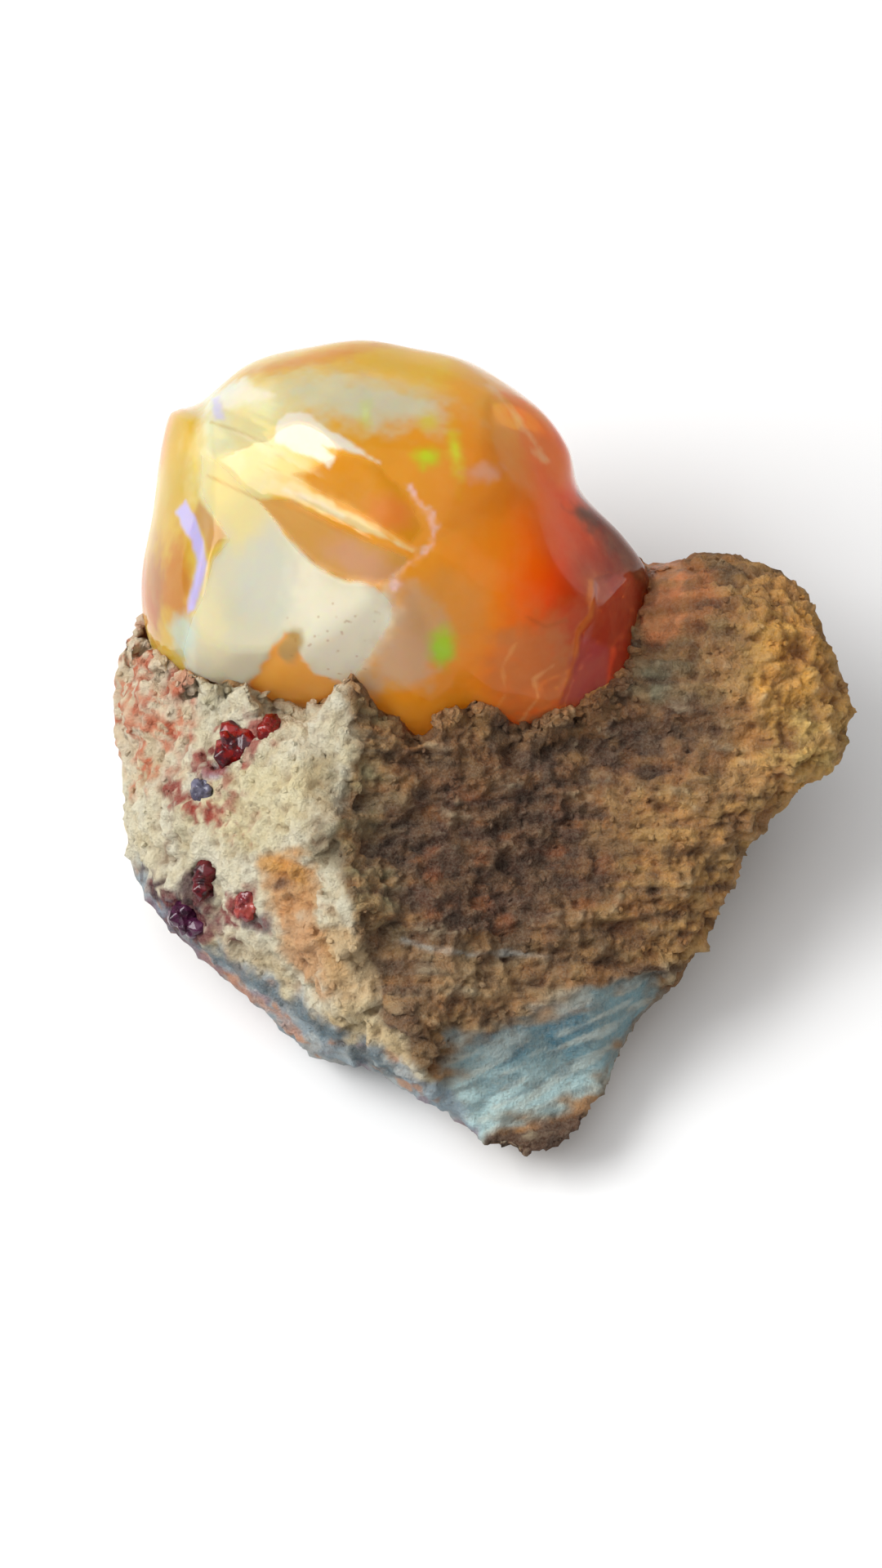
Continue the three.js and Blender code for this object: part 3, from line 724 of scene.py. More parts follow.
def opal_shades(points):
    """Body colour of the opal at each point, with painted highlights and reflections laid in."""
    x, y, z = points.T
    shades = graded(x - 0.15 * (y - 12) + 0.5 * wander(points, 2.2, 11), FIRE)
    shown = ramp(z, -1.5, 2.0)
    for size, level, seed, code in REAR_CLOUDS:
        cloud = eased(wander(points, np.array((1.5, 1.0, 1.0)) * size, seed) * 1.5 - level)
        shades = layered(shades, 0.8 * (1 - shown) * cloud, code)
    shades = touched(shades, points, OPAL_TOUCHES, 0.8, 100, shown)
    # Feathered pale streaks over the hackle: painted highlights.
    feather_highlight = eased(wander(turned(points, STREAK_TURN), (4.0, 0.3, 1.0), 12) * 2.2)
    shades = layered(shades, 0.45 * feather_highlight * mask(points, HACKLE_HIGHLIGHT_ZONE, 1.2), "#f7efcf")
    speck = eased((wander(points, 0.28, 13) - 0.72) * 8)
    shades = layered(shades, 0.55 * speck * mask(points, spot(-9.0, 6.4, 3.0, 3.0), 1.5), "#a07848")
    for code, *place in FLASHES:
        shades = layered(shades, 0.85 * mask(points, spot(*place), 1.0, 0.2, 0.6), code)
    beads = 0.3 + 0.7 * eased(0.5 + wander(points, 0.55, 14) * 2)
    return layered(shades, 0.8 * beads * mask(points, line(0.16, *HEALED_CRACK), 0.5, 0.25, 0.5), "#eacfd0")


def opal_sheen(points):
    """How strongly the broken skin shines."""
    x, _, z = points.T
    shine = 0.08 + 0.12 * ramp(x, -4, -12)
    for level, shape, edge in FACE_SHINE:
        shine = shine + mask(points, shape, edge) * (level - shine)
    return np.where(z > -3, shine, 0.25)


def sealed_flakes(name, look, flakes):
    """Thin flakes sealed just under the opal's skin: colour play or an old crack."""
    shape = bmesh.new()
    for x, y, half_x, half_y, turn in flakes:
        guess = Vector((x, y, FLAKE_START))
        for _ in range(SINKING_STEPS):
            guess.z -= float(opal_gap(np.array([guess]))[0]) + FLAKE_COVER
        place = FACE_TO_ROW @ Matrix.Translation(guess) @ Matrix.Rotation(math.radians(turn), 4, "Z")
        size = Matrix.Diagonal((half_x, half_y, FLAKE_HALF_THICKNESS, 1))
        bmesh.ops.create_icosphere(shape, subdivisions=3, radius=1, matrix=place @ size)
    for vertex in shape.verts:
        vertex.co += Vector(noise.noise_vector(vertex.co * WOBBLES_PER_METRE)) * FLAKE_WOBBLE
    mesh = mesh_from(shape, name)
    mesh.shade_smooth()
    mesh.materials.append(look)
    link(name, mesh)


def make_sealed_colours():
    for number, (code, x, y, half_x, half_y, turn) in enumerate(FLASHES):
        name = f"colour_flash_{number + 1}"
        look = flake_material(name, code, "#86b018")
        sealed_flakes(name, look, [(x, y, 0.7 * half_x, 0.75 * half_y, turn)])
    rows = np.array(HEALED_CRACK)
    beads = []
    for number, step in enumerate(np.linspace(0, len(rows) - 1, BEADS_IN_CRACK)):
        x, y = (np.interp(step, np.arange(len(rows)), rows[:, axis]) for axis in (0, 1))
        beads.append((x, y, 0.14 + 0.1 * (number % 3), 0.18 + 0.08 * (number % 2), 40 * number))
    sealed_flakes("healed_crack", flake_material("healed_crack", "#f4dde2", "#c9a8d8"), beads)


def make_opal():
    mesh, points = opal_mesh()
    paint_shades(mesh, opal_shades(points))
    paint(mesh, "matt", np.maximum.reduce(
        [level * mask(points, shape, edge) for level, shape, edge in FACE_DULLNESS]))
    paint(mesh, "sheen", opal_sheen(points))
    mesh.materials.append(opal_material())
    link("fire_opal", mesh, "opal_nodule")


# ---- the host rock ----
ROCK_VOXEL = 0.42  # side of the cells in which the rock's skin is made even
ROCK_SMOOTHING = 5
SHOWN_FACING = 0.12  # the rock's mesh is finer where it faces out of the face by more
CRUMBS_PER_SQUARE_MM = 2.2


def carrier_of(mesh):
    carrier = bpy.data.objects.new("shaping", mesh)
    bpy.context.scene.collection.objects.link(carrier)
    return carrier


def baked(carrier):
    """The evaluated mesh of an object, which is then removed."""
    depsgraph = bpy.context.evaluated_depsgraph_get()
    mesh = bpy.data.meshes.new_from_object(carrier.evaluated_get(depsgraph))
    bpy.data.objects.remove(carrier)
    return mesh


def grown_together(mesh, voxel, smooth_steps):
    """The mesh made one closed, even skin, and smoothed."""
    carrier = carrier_of(mesh)
    remesh = carrier.modifiers.new("remesh", "REMESH")
    remesh.mode = "VOXEL"
    remesh.voxel_size = voxel * MM
    carrier.modifiers.new("smooth", "SMOOTH").iterations = smooth_steps
    return baked(carrier)


def fine_copy(source):
    """A closed, evenly meshed copy of the CAD rock, finer across the show face."""
    shape = bmesh.new()
    shape.from_mesh(source.data)
    bmesh.ops.remove_doubles(shape, verts=shape.verts, dist=1e-6)
    mesh = grown_together(mesh_from(shape, source.name + "_fine"), ROCK_VOXEL, ROCK_SMOOTHING)
    shape = bmesh.new()
    shape.from_mesh(mesh)
    shape.normal_update()
    out = Vector(OUT_OF_FACE)
    shown = [e for e in shape.edges if all(v.normal.dot(out) > SHOWN_FACING for v in e.verts)]
    bmesh.ops.subdivide_edges(shape, edges=shown, cuts=1, use_grid_fill=True)
    bmesh.ops.triangulate(shape, faces=[f for f in shape.faces if len(f.verts) > 4])
    shape.to_mesh(mesh)
    shape.free()
    return mesh


# The crest as places up the face and across it, from the foot upwards.
CREST = np.array([
    (-26, 1.5), (-22.6, -0.6), (-20.0, -3.3), (-16.3, -6.3), (-14.3, -5.9), (-12.2, -7.0), (-10.2, -8.1),
    (-7.5, -8.9), (-4.4, -8.5), (0, -7.6), (3.5, -8.4), (20, -8.0)]).T
BLUE_SCOOP = area(
    (-2.0, -19.6), (-1.5, -17.6), (1.4, -17.3), (3.0, -16.3), (5.1, -15.1), (7.7, -14.5), (10.2, -14.4),
    (10.6, -16.3), (8.8, -17.9), (8.0, -20.0), (6.6, -21.6), (3.4, -22.7), (1.0, -23.3), (-0.3, -24.6),
    (-1.6, -22.9), (-2.7, -20.6))
LOWER_STRIP = area(
    (-23.5, -5.5), (-21.0, -7.6), (-19.2, -10.2), (-16.6, -12.2), (-13.6, -13.9), (-11.0, -15.7),
    (-8.0, -17.6), (-5.0, -19.2), (-2.6, -20.6), (-0.6, -22.8), (0.4, -25.5), (-6, -26), (-20, -20),
    (-26, -10))
# Seams along the strip, from the cream's edge outwards: colour, strength, half width, line, order of chance.
STRIP_SEAMS = [
    ("#2f6078", 0.85, 0.45, [(-18.6, -11.0), (-15.6, -13.2), (-12.4, -15.3), (-9.0, -17.6), (-5.6, -19.7)],
     71),
    ("#cf8a6a", 0.75, 0.25, [(-17.2, -12.9), (-14.9, -14.9), (-12.6, -16.4), (-11.6, -17.5)], 72),
    ("#7a4a6a", 0.7, 0.3, [(-20.4, -10.0), (-18.4, -12.0), (-16.4, -13.9)], 73),
]
# Laid over the tan body in this order: colour, strength, shape, edge width, raggedness. Rows noted below are
# partly painted light and shade.
ROCK_TOUCHES = [
    # The next three brighten the right lobe, which faces away from the key light: partly its own orange-tan,
    # partly painted light.
    ("#f0b866", 0.9, spot(19.0, 3.6, 4.8, 8.0), 3.0, 0.8),
    ("#ffbe54", 0.92, spot(18.8, 4.2, 2.8, 5.0, 10), 2.0, 0.7),
    ("#f4cc74", 0.85, spot(20.2, 0.2, 2.8, 2.4), 2.0, 0.5),
    ("#dcaa60", 0.85, spot(12.8, -7.6, 5.6, 5.6, -20), 3.5, 0.8),
    ("#b49a72", 0.75, spot(-0.5, -14.8, 6.6, 2.4, -6), 2.0, 0.7),
    ("#5e3a22", 0.85, spot(0.5, -6.6, 7.8, 5.2), 3.5, 0.9),
    # Painted shadow under the opal's overhang.
    ("#5b3c28", 0.85, spot(5.4, 0.2, 5.6, 3.0, 4), 2.2, 0.8),
    ("#5e3c28", 0.75, spot(12.2, 0.6, 3.4, 2.4, 8), 2.0, 0.8),
    ("#69442e", 0.6, spot(-3.0, -9.4, 5.0, 1.6, 4), 1.6, 0.6),
    # A grey-olive band down the right of the crest: partly the rock's grey-green, partly painted shade.
    ("#a49a6e", 0.8, area((-8.4, 3), (-5.6, 2.4), (-5.4, -6), (-5.0, -11.5), (-8.0, -11.0), (-9.2, -5)),
     2.2, 0.6),
    ("#868468", 0.85, spot(10.6, 4.6, 2.9, 2.0, -20), 1.6, 0.5),
    ("#a78a58", 0.6, spot(14.2, 5.6, 2.6, 3.2), 2.0, 0.6),
    ("#d88c50", 0.9, spot(12.0, 9.6, 2.6, 2.6, 10), 1.4, 0.3),
    ("#ffa468", 0.95, spot(10.9, 9.0, 1.6, 2.8), 0.8, 0.2),
    ("#c8d0cc", 0.75, line(0.14, (-4.9, -11.8), (-3.0, -12.3), (-0.8, -12.7), (1.6, -12.6), (4.2, -12.9)),
     0.3, 0.15),
]
LEFT_TOUCHES = [
    ("#efe2b4", 0.65, spot(-13.6, -3.6, 3.6, 2.6, 12), 2.0, 0.6),
    # Brownish-olive spot at the crest: partly the rock's own colour, partly painted shade.
    ("#8c7c58", 0.75, spot(-9.2, -6.0, 1.5, 1.5, 20), 1.0, 0.6),
    ("#a08c60", 0.6, spot(-9.6, -2.6, 0.9, 1.6, 0), 0.9, 0.5),
    ("#d79a58", 0.8, spot(-11.4, -8.4, 1.5, 1.9, -15), 1.0, 0.6),
    ("#e0a048", 0.85, spot(-11.9, -7.6, 1.5, 0.9, -15), 0.9, 0.5),
    ("#d69450", 0.75, spot(-10.6, -12.2, 1.7, 2.6, 10), 1.2, 0.7),
    ("#dcb478", 0.7, spot(-7.8, -13.4, 1.7, 2.4, 20), 1.2, 0.5),
    ("#dcc494", 0.75, spot(-6.6, -17.6, 3.4, 1.9, -30), 1.4, 0.5),
    ("#c9b792", 0.5, spot(-14.0, -13.4, 2.4, 1.6, -35), 1.2, 0.5),
    ("#7a2c20", 0.85, line(0.2, (-19.6, -2.7), (-18.9, -3.3), (-18.5, -4.0)), 0.4, 0.15),
    ("#8a5a34", 0.7, line(0.07, (-18.9, -4.4), (-19.0, -5.4), (-19.5, -6.4), (-19.9, -7.4)), 0.25, 0.08),
    ("#b8442c", 0.8, line(0.14, (-17.4, -3.5), (-16.6, -4.1), (-15.8, -4.8)), 0.4, 0.3),
    ("#b8a4c8", 0.7, spot(-16.3, -1.6, 0.6, 0.35, 20), 0.4, 0.2),
    ("#4e1c2c", 0.92, spot(-17.4, -9.0, 1.1, 0.8, -35), 0.5, 0.45),
    ("#7c2234", 0.9, spot(-17.8, -10.5, 1.6, 0.6, -30), 0.5, 0.45),
    ("#5a2a58", 0.85, spot(-19.6, -10.4, 1.5, 1.2, -35), 0.8, 0.5),
    ("#a84848", 0.8, spot(-14.7, -9.9, 0.6, 1.2, -20), 0.5, 0.45),
    ("#5a4054", 0.8, spot(-13.4, -10.8, 0.9, 0.6, -15), 0.5, 0.4),
    ("#5a3c30", 0.8, spot(-12.2, -8.5, 0.5, 0.3, 20), 0.4, 0.2),
]
# Stains round the blebs: colour, place, size of the breaks in them, order of chance.
STAINS = [
    ("#3a1830", (-19.4, -9.6, 2.6, 1.4, -40), 0.9, 54), ("#6e1828", (-17.9, -10.4, 2.2, 1.0, -36), 0.6, 55),
    ("#8e2c34", (-14.8, -10.2, 1.5, 0.9, -20), 0.5, 59), ("#9c2c24", (-18.4, -3.0, 1.3, 0.6, -50), 0.5, 60),
    ("#a83424", (-16.6, -4.2, 1.6, 0.4, -38), 0.4, 68), ("#8c2428", (-16.4, -0.9, 1.5, 0.8, 30), 0.4, 70),
]
FLANK_SHADES = [(-26, "#a58a68"), (-10, "#ab9166"), (6, "#a07a54"), (26, "#96704e")]
# Flecks: colour, strength, size, gain, shift, order of chance.
FLANK_FLECKS = [
    ("#8a7258", 0.5, 3.2, 1, 0.4, 21), ("#c0a67c", 0.45, 1.7, 1, 0.2, 22),
    ("#7c5a3c", 0.5, (5.0, 5.0, 0.8), 2, 0, 51), ("#5e4430", 0.5, 0.7, 2.2, 0, 52),
]
BEDDING = (5.5, 0.55, 2.5)
BEDDING_FLECKS = [("#553420", 0.6, BEDDING, 2.2, 0, 42), ("#b8864a", 0.45, BEDDING, 2.2, 0, 43)]
TAN_FLECKS = [("#c4935a", 0.4, 0.9, 2.5, 0, 44)]
DARK_FLECKS = [("#4e3220", 0.4, 0.8, 2.5, 0, 45)]
RUST_FLECKS = [("#b4621e", 0.45, (1.5, 0.8, 1.2), 2.4, -0.35, 58)]
OCHRE_FLECKS = [("#b07a34", 0.3, (1.5, 0.8, 1.2), 2.4, -0.35, 58)]
CREAM_FLECKS = [("#d0c498", 0.45, 1.5, 1.6, 0, 25), ("#efe9d2", 0.6, 0.8, 1.8, 0, 26)]
BLEB_FLECKS = [("#a8302a", 0.85, 0.55, 2.6, 0, 29)]
LOW_BLEB_FLECKS = [("#b04438", 0.7, 0.6, 2.4, 0, 30)]
BLUE_FLECKS = [("#7fa4ac", 0.55, 1.1, 2.0, 0, 33)]
BLUE_COMBING = [("#dfe8de", 0.5, (2.2, 0.4, 0.9), 2.0, 0, 34),
                ("#4c7484", 0.5, (1.8, 0.35, 0.9), 2.2, -0.2, 53)]
STRIP_FLECKS = [("#b9c2c4", 0.7, 1.3, 2.4, 0, 36), ("#94748c", 0.7, 1.2, 2.6, -0.5, 37),
                ("#c98a62", 0.8, 0.9, 3.0, -0.9, 38)]
# The lip at the lower point: colour, outline, edge width, order of chance. The second, dark row is painted
# shade under the lip.
LIP = [
    ("#b9844c", area((0.4, -24.2), (2.0, -23.1), (5.1, -22.5), (6.5, -21.2), (8, -22), (6, -26), (0, -26)),
     0.6, 39),
    ("#4c2e22", area((0.2, -23.7), (2.0, -23.3), (4.4, -23.0), (6.2, -22.5), (8, -26), (0, -26)), 0.5, 40),
]
RIM_FLECKS = [("#cf8644", 0.5, 0.9, 2, 0.3, 41)]


def right_of_crest(points):
    return points[:, 0] - np.interp(points[:, 1], *CREST)


def brown_face(points, shades, shown):
    """The concave right face: bedded brown, with tan, dark, rust and ochre flecks, painted light on the right
    lobe and painted shade below the opal.
    """
    shades = touched(layered(shades, shown, "#8d6a3e"), points, ROCK_TOUCHES, 1.3, 200, shown)
    banded = shown * (1 - 0.55 * mask(points, spot(18.6, 3.0, 4.4, 7.0), 3.0))
    shades = flecked(shades, points, BEDDING_FLECKS, banded)
    shades = flecked(shades, points, TAN_FLECKS, shown)
    shades = flecked(shades, points, DARK_FLECKS, banded)
    # Darker brown over the deep middle of the face, just below the opal: partly the rock's brown, partly
    # painted shade.
    hollow_shade = mask(points, spot(0.2, -5.8, 6.4, 4.8), 3.2, 0.9, 1.6, 46)
    shades = layered(shades, 0.6 * shown * hollow_shade, "#4e2c16")
    rusty = mask(points, spot(2.0, -8.0, 7.5, 4.6, -8), 4.0, 0.8)
    shades = flecked(shades, points, RUST_FLECKS, banded * rusty)
    return flecked(shades, points, OCHRE_FLECKS, banded * (1 - rusty))


def cream_face(points):
    """The pale left face with its red stain and veins."""
    cream = flecked(even(points, "#eae3c8"), points, CREAM_FLECKS)
    cream = touched(cream, points, LEFT_TOUCHES, 0.9, 300)
    stained = mask(points, spot(-20.6, 3.0, 2.8, 5.4), 1.6, 0.6)
    cream = layered(cream, 0.25 * stained, "#e4b088")
    slanted = turned(points, 60)
    stained = stained * eased(wander(points, 0.9, 47) * 2 + 0.6)
    cream = layered(cream, 0.9 * stained * worms(slanted, (2.0, 0.8, 1.2), 0.24, 27), "#c8502a")
    cream = layered(cream, 0.8 * stained * worms(slanted, (0.5, 1.1, 0.8), 0.26, 28), "#d4683c")
    cream = flecked(cream, points, BLEB_FLECKS, mask(points, spot(-14.9, 0.2, 2.7, 1.5, 22), 0.8, 0.8))
    return flecked(cream, points, LOW_BLEB_FLECKS, mask(points, spot(-15.6, -2.9, 2.0, 0.8, -38), 0.8, 0.6))


def blue_scoop(points):
    # Paler towards the bottom; the darker blue spot at the top of the scoop is painted shade.
    scoop_blue = layered(even(points, "#7fa9b4"), ramp(points[:, 1], -18.5, -21.5), "#cdf2f4")
    scoop_blue = layered(scoop_blue, 0.85 * mask(points, spot(3.8, -17.2, 3.4, 1.5, 12), 1.6, 0.5), "#387a92")
    scoop_blue = flecked(scoop_blue, points, BLUE_FLECKS)
    return flecked(scoop_blue, turned(points, 24), BLUE_COMBING)


def cool_strip(points):
    cool = flecked(even(points, "#93a9b8"), points, STRIP_FLECKS)
    for code, share, half_width, seam, seed in STRIP_SEAMS:
        cool = layered(cool, share * mask(points, line(half_width, *seam), 0.6, 0.4, 0.8, seed), code)
    return cool


def rock_shades(points, facing):
    """Body colour of the rock at each point, with painted light and shade in places: facing is how much its
    skin faces out of the show face.
    """
    shown = ramp(facing, -0.35, 0.15)
    barely_shown = ramp(facing, -0.9, -0.4)
    behind = ramp(facing, -0.2, -0.7)
    shades = brown_face(points, flecked(graded(points[:, 1], FLANK_SHADES), points, FLANK_FLECKS), shown)
    right = right_of_crest(points) + 0.5 * wander(points, 1.6, 23) + 0.3 * wander(points, 0.7, 24)
    right = right + behind * (4.0 * wander(points, 4.0, 48) + 1.6 * wander(points, 1.4, 49))
    left = eased((0.4 - right) / (0.9 + 3.0 * behind))
    left = left * (1 - 0.45 * behind * eased(0.5 + wander(points, 2.6, 50) * 1.6))
    shades = layered(shades, left, cream_face(points))
    scooped = mask(points, BLUE_SCOOP, 2.2, 1.0, (1.8, 0.8, 1.0), 32)
    shades = layered(shades, 0.95 * scooped * shown, blue_scoop(points))
    strip = mask(points, LOWER_STRIP, 0.9, 0.5, 1.0, 35)
    shades = layered(shades, 0.9 * strip * barely_shown, cool_strip(points))
    for code, place, size, seed in STAINS:
        patch = mask(points, spot(*place), 0.7, 0.6, size, seed) * barely_shown
        shades = flecked(shades, points, [(code, 0.95, size, 2.2, 0.75, seed + 2)], patch)
    for code, outline, edge, seed in LIP:
        shades = layered(shades, 0.9 * shown * mask(points, outline, edge, 0.3, 0.8, seed), code)
    rim = ramp(opal_gap(points), 1.0, 0.1)
    return flecked(shades, points, RIM_FLECKS, rim)


# Broken flakes that stand out of the face beside the crest: outline and height.
FLAKES = [
    (area((-9.6, -13.0), (-6.6, -13.6), (-6.2, -15.6), (-8.6, -17.4), (-10.6, -16.2)), 0.5),
    (area((-7.0, -15.8), (-4.6, -16.2), (-2.6, -18.0), (-3.6, -20.4), (-6.6, -18.8)), 0.7),
    (area((-9.4, -9.0), (-7.2, -8.6), (-6.8, -12.0), (-8.8, -12.6)), 0.5),
    (area((-11.6, -17.0), (-8.0, -18.2), (-7.4, -19.4), (-10.0, -19.0)), 0.4),
    (area((-10.6, 2.4), (-7.6, 3.0), (-7.2, -1.4), (-9.4, -2.0)), 0.45),
    (area((-9.6, -2.6), (-7.4, -2.0), (-7.6, -6.0), (-9.8, -6.4)), 0.4),
]
# How far the rock's rim climbs up the opal, by place across the face.
RIM_CLIMB = [
    (-21, 0.0), (-17.5, 0.3), (-14, 0.5), (-12.6, -0.5), (-10.6, -1.0), (-9.0, 0.3), (-7.8, 0.9),
    (-6.2, -0.3), (-4.2, -0.9), (-2.6, -0.2), (-0.6, 0.6), (1.0, 0.3), (2.4, -0.2), (3.6, 0.8), (5.2, 1.0),
    (7.2, 0.8), (8.6, 0.6), (10.5, 0.2)]
CLIMB_REACH = 2.2  # how near the opal the rock's points are slid
CLIMB_DEPTH = -5.0  # and how far back
CLIMB_STEPS = 5
PROBE = 0.05  # a small step forward that tells the slope of the opal's skin


def climbed(points):
    """Points near the opal slid up or down its skin, so that the rim is ragged."""
    gap = opal_gap(points)
    near = (gap < CLIMB_REACH) & (points[:, 2] > CLIMB_DEPTH)
    p, kept = points[near], gap[near]
    climb = np.interp(p[:, 0], *np.array(RIM_CLIMB).T) + 0.5 * wander(p, 1.1, 64) + 0.3 * wander(p, 0.6, 65)
    p[:, 1] += climb * eased(1.2 - kept / 2.0)
    for _ in range(CLIMB_STEPS):
        now = opal_gap(p)
        rise = (opal_gap(p + np.array((0, 0, PROBE))) - now) / PROBE
        p[:, 2] += np.clip((kept - now) / np.maximum(rise, 0.3), -0.4, 0.4)
    points[near] = p
    return points


def broken_skin(mesh):
    """Moves the rock's skin out at flakes and chips, unevenly along the crest, and in teeth up the opal."""
    points = climbed(carried(per_vertex(mesh), ROW_TO_FACE))
    here = carried(points, FACE_TO_ROW)
    normals = per_vertex(mesh, "normal")
    beside = np.abs(right_of_crest(points))
    out = 0.55 * eased(1.3 - beside / 2.6) * (wander(points, 2.0, 61) + 0.5 * wander(points, 1.0, 62))
    for shape, height in FLAKES:
        out += height * mask(points, shape, 0.35, 0.35, 1.0, 63)
    chipped = 0.35 - np.abs(wander(points, 3.4, 66)) + 0.5 * (0.35 - np.abs(wander(points, 1.5, 67)))
    on_flank = ramp(normals @ OUT_OF_FACE, 0.25, -0.25)
    out += 0.9 * on_flank * chipped * ramp(here[:, 2] / MM, 0.8, 3.3)
    free = ramp(opal_gap(points), 0.3, 0.9) * ramp(points[:, 2], -6, -3)
    move_vertices(mesh, here + normals * (out * free * MM)[:, None])


def rock_regions(mesh):
    """Paints the rock's body colour and where it is streaky, glossy, crumbly or calm."""
    height = per_vertex(mesh)[:, 2] / MM
    points = carried(per_vertex(mesh), ROW_TO_FACE)
    facing = per_vertex(mesh, "normal") @ OUT_OF_FACE
    gap = opal_gap(points)
    socket = ramp(gap, 0.35, 0.05)
    paint_shades(mesh, layered(rock_shades(points, facing), socket, "#e3a455"))
    scoop = mask(points, BLUE_SCOOP, 1.6)
    right = eased(right_of_crest(points) / 1.5)
    paint(mesh, "streaky", right * ramp(facing, -0.3, 0.2) * (1 - 0.8 * scoop))
    film = mask(points, spot(11.2, 9.6, 2.0, 2.4), 1.2)
    paint(mesh, "gloss", film * (facing > 0))
    edge_on = 0.5 * ramp(facing, 0.4, 0) - 0.3 * ramp(facing, -0.1, -0.4)
    calm = np.maximum.reduce([0.75 * film, 0.8 * scoop, 0.6 * mask(points, LOWER_STRIP, 1.6), socket, edge_on,
                              ramp(height, 0.7, 0.2)])
    paint(mesh, "calm", calm)
    crumbly = 0.1 + 0.9 * ramp(gap, 1.3, 0.5) * (points[:, 2] > -4)
    paint(mesh, "crumbly", crumbly * (1 - calm) * (facing > 0.3) * (gap > 0.2))


def nodes_tree(name, sockets):
    """An empty Geometry Nodes tree with named inputs and one geometry out."""
    tree = bpy.data.node_groups.new(name, "GeometryNodeTree")
    for label, kind, default in [("Geometry", "Geometry", None), *sockets, ("Material", "Material", None)]:
        socket = tree.interface.new_socket(label, in_out="INPUT", socket_type="NodeSocket" + kind)
        if default is not None:
            socket.default_value = default
    tree.interface.new_socket("Geometry", in_out="OUTPUT", socket_type="NodeSocketGeometry")
    return tree, tree.nodes.new("NodeGroupInput").outputs, tree.nodes.new("NodeGroupOutput")


def carried_value(tree, name):
    made = node(tree, "GeometryNodeInputNamedAttribute", {"Name": name}, data_type="FLOAT")
    return made.outputs["Attribute"]


def vectors(tree, operation, first, second):
    return node(tree, "ShaderNodeVectorMath", {0: first, 1: second}, operation=operation).outputs[0]


def scaled(tree, vector, factor):
    return node(tree, "ShaderNodeVectorMath", {0: vector, "Scale": factor}, operation="SCALE").outputs[0]


def place_in_millimetres(tree):
    return scaled(tree, node(tree, "GeometryNodeInputPosition").outputs[0], PER_METRE)


def moved_by(tree, geometry, offset):
    return node(tree, "GeometryNodeSetPosition", {"Geometry": geometry, "Offset": offset}).outputs[0]


def finish_tree(tree, geometry, given, result):
    """Closes a tree: instances made real, then the material."""
    whole = node(tree, "GeometryNodeRealizeInstances", {"Geometry": geometry}).outputs[0]
    dressed = node(tree, "GeometryNodeSetMaterial", {"Geometry": whole, "Material": given["Material"]})
    fill(tree, result, {"Geometry": dressed.outputs[0]})
    return tree


def rock_relief_tree():
    """Geometry Nodes that roughen the rock: lumps, bedding streaks, broken grain and pits."""
    tree, given, result = nodes_tree("rock_relief", [
        ("Lump height", "Float", 0.5), ("Streak height", "Float", 0.3), ("Grain height", "Float", 0.2),
        ("Pit depth", "Float", 0.3), ("Seed", "Float", 4.0)])
    place = place_in_millimetres(tree)
    bedded = vectors(tree, "MULTIPLY", place, (0.3, 1.0, 1.0))

    def pattern(vector, scale, detail):
        made = node(tree, "ShaderNodeTexNoise", {"Vector": vector, "W": given["Seed"], "Scale": scale,
                    "Detail": detail, "Roughness": 0.6}, noise_dimensions="4D")
        return minus(tree, made.outputs[0], 0.5)

    def cells(vector, scale, feature):
        return node(tree, "ShaderNodeTexVoronoi", {"Vector": vector, "W": given["Seed"], "Scale": scale},
                    voronoi_dimensions="4D", feature=feature).outputs["Distance"]

    swirl = node(tree, "ShaderNodeTexNoise", {"Vector": place, "Scale": 0.9}).outputs["Color"]
    bent = vectors(tree, "ADD", place, scaled(tree, swirl, 0.9))
    lumps = times(tree, pattern(place, 0.38, 2.0), given["Lump height"])
    streaks = times(tree, times(tree, pattern(bedded, 0.95, 4.0), given["Streak height"]),
                    carried_value(tree, "streaky"))
    knobs = minus(tree, 0.45, cells(bent, 0.95, "SMOOTH_F1"))
    crumbs = minus(tree, 0.4, cells(bent, 2.0, "F1"))
    grain = plus(tree, times(tree, knobs, 0.6), times(tree, crumbs, 0.35))
    grain = plus(tree, grain, times(tree, pattern(place, 1.6, 5.0), 1.5))
    grain = times(tree, grain, given["Grain height"])
    pits = times(tree, spread(tree, cells(place, 0.62, "F1"), 0.3, 0.12), given["Pit depth"])
    rough = minus(tree, 1.0, carried_value(tree, "calm"))
    height = times(tree, minus(tree, plus(tree, streaks, grain), pits), rough)
    kept = node(tree, "GeometryNodeStoreNamedAttribute", {"Geometry": given["Geometry"], "Name": "relief",
                "Value": height}, data_type="FLOAT", domain="POINT").outputs[0]
    whole_height = times(tree, plus(tree, height, times(tree, lumps, rough)), MM)
    outwards = scaled(tree, node(tree, "GeometryNodeInputNormal").outputs[0], whole_height)
    return finish_tree(tree, moved_by(tree, kept, outwards), given, result)


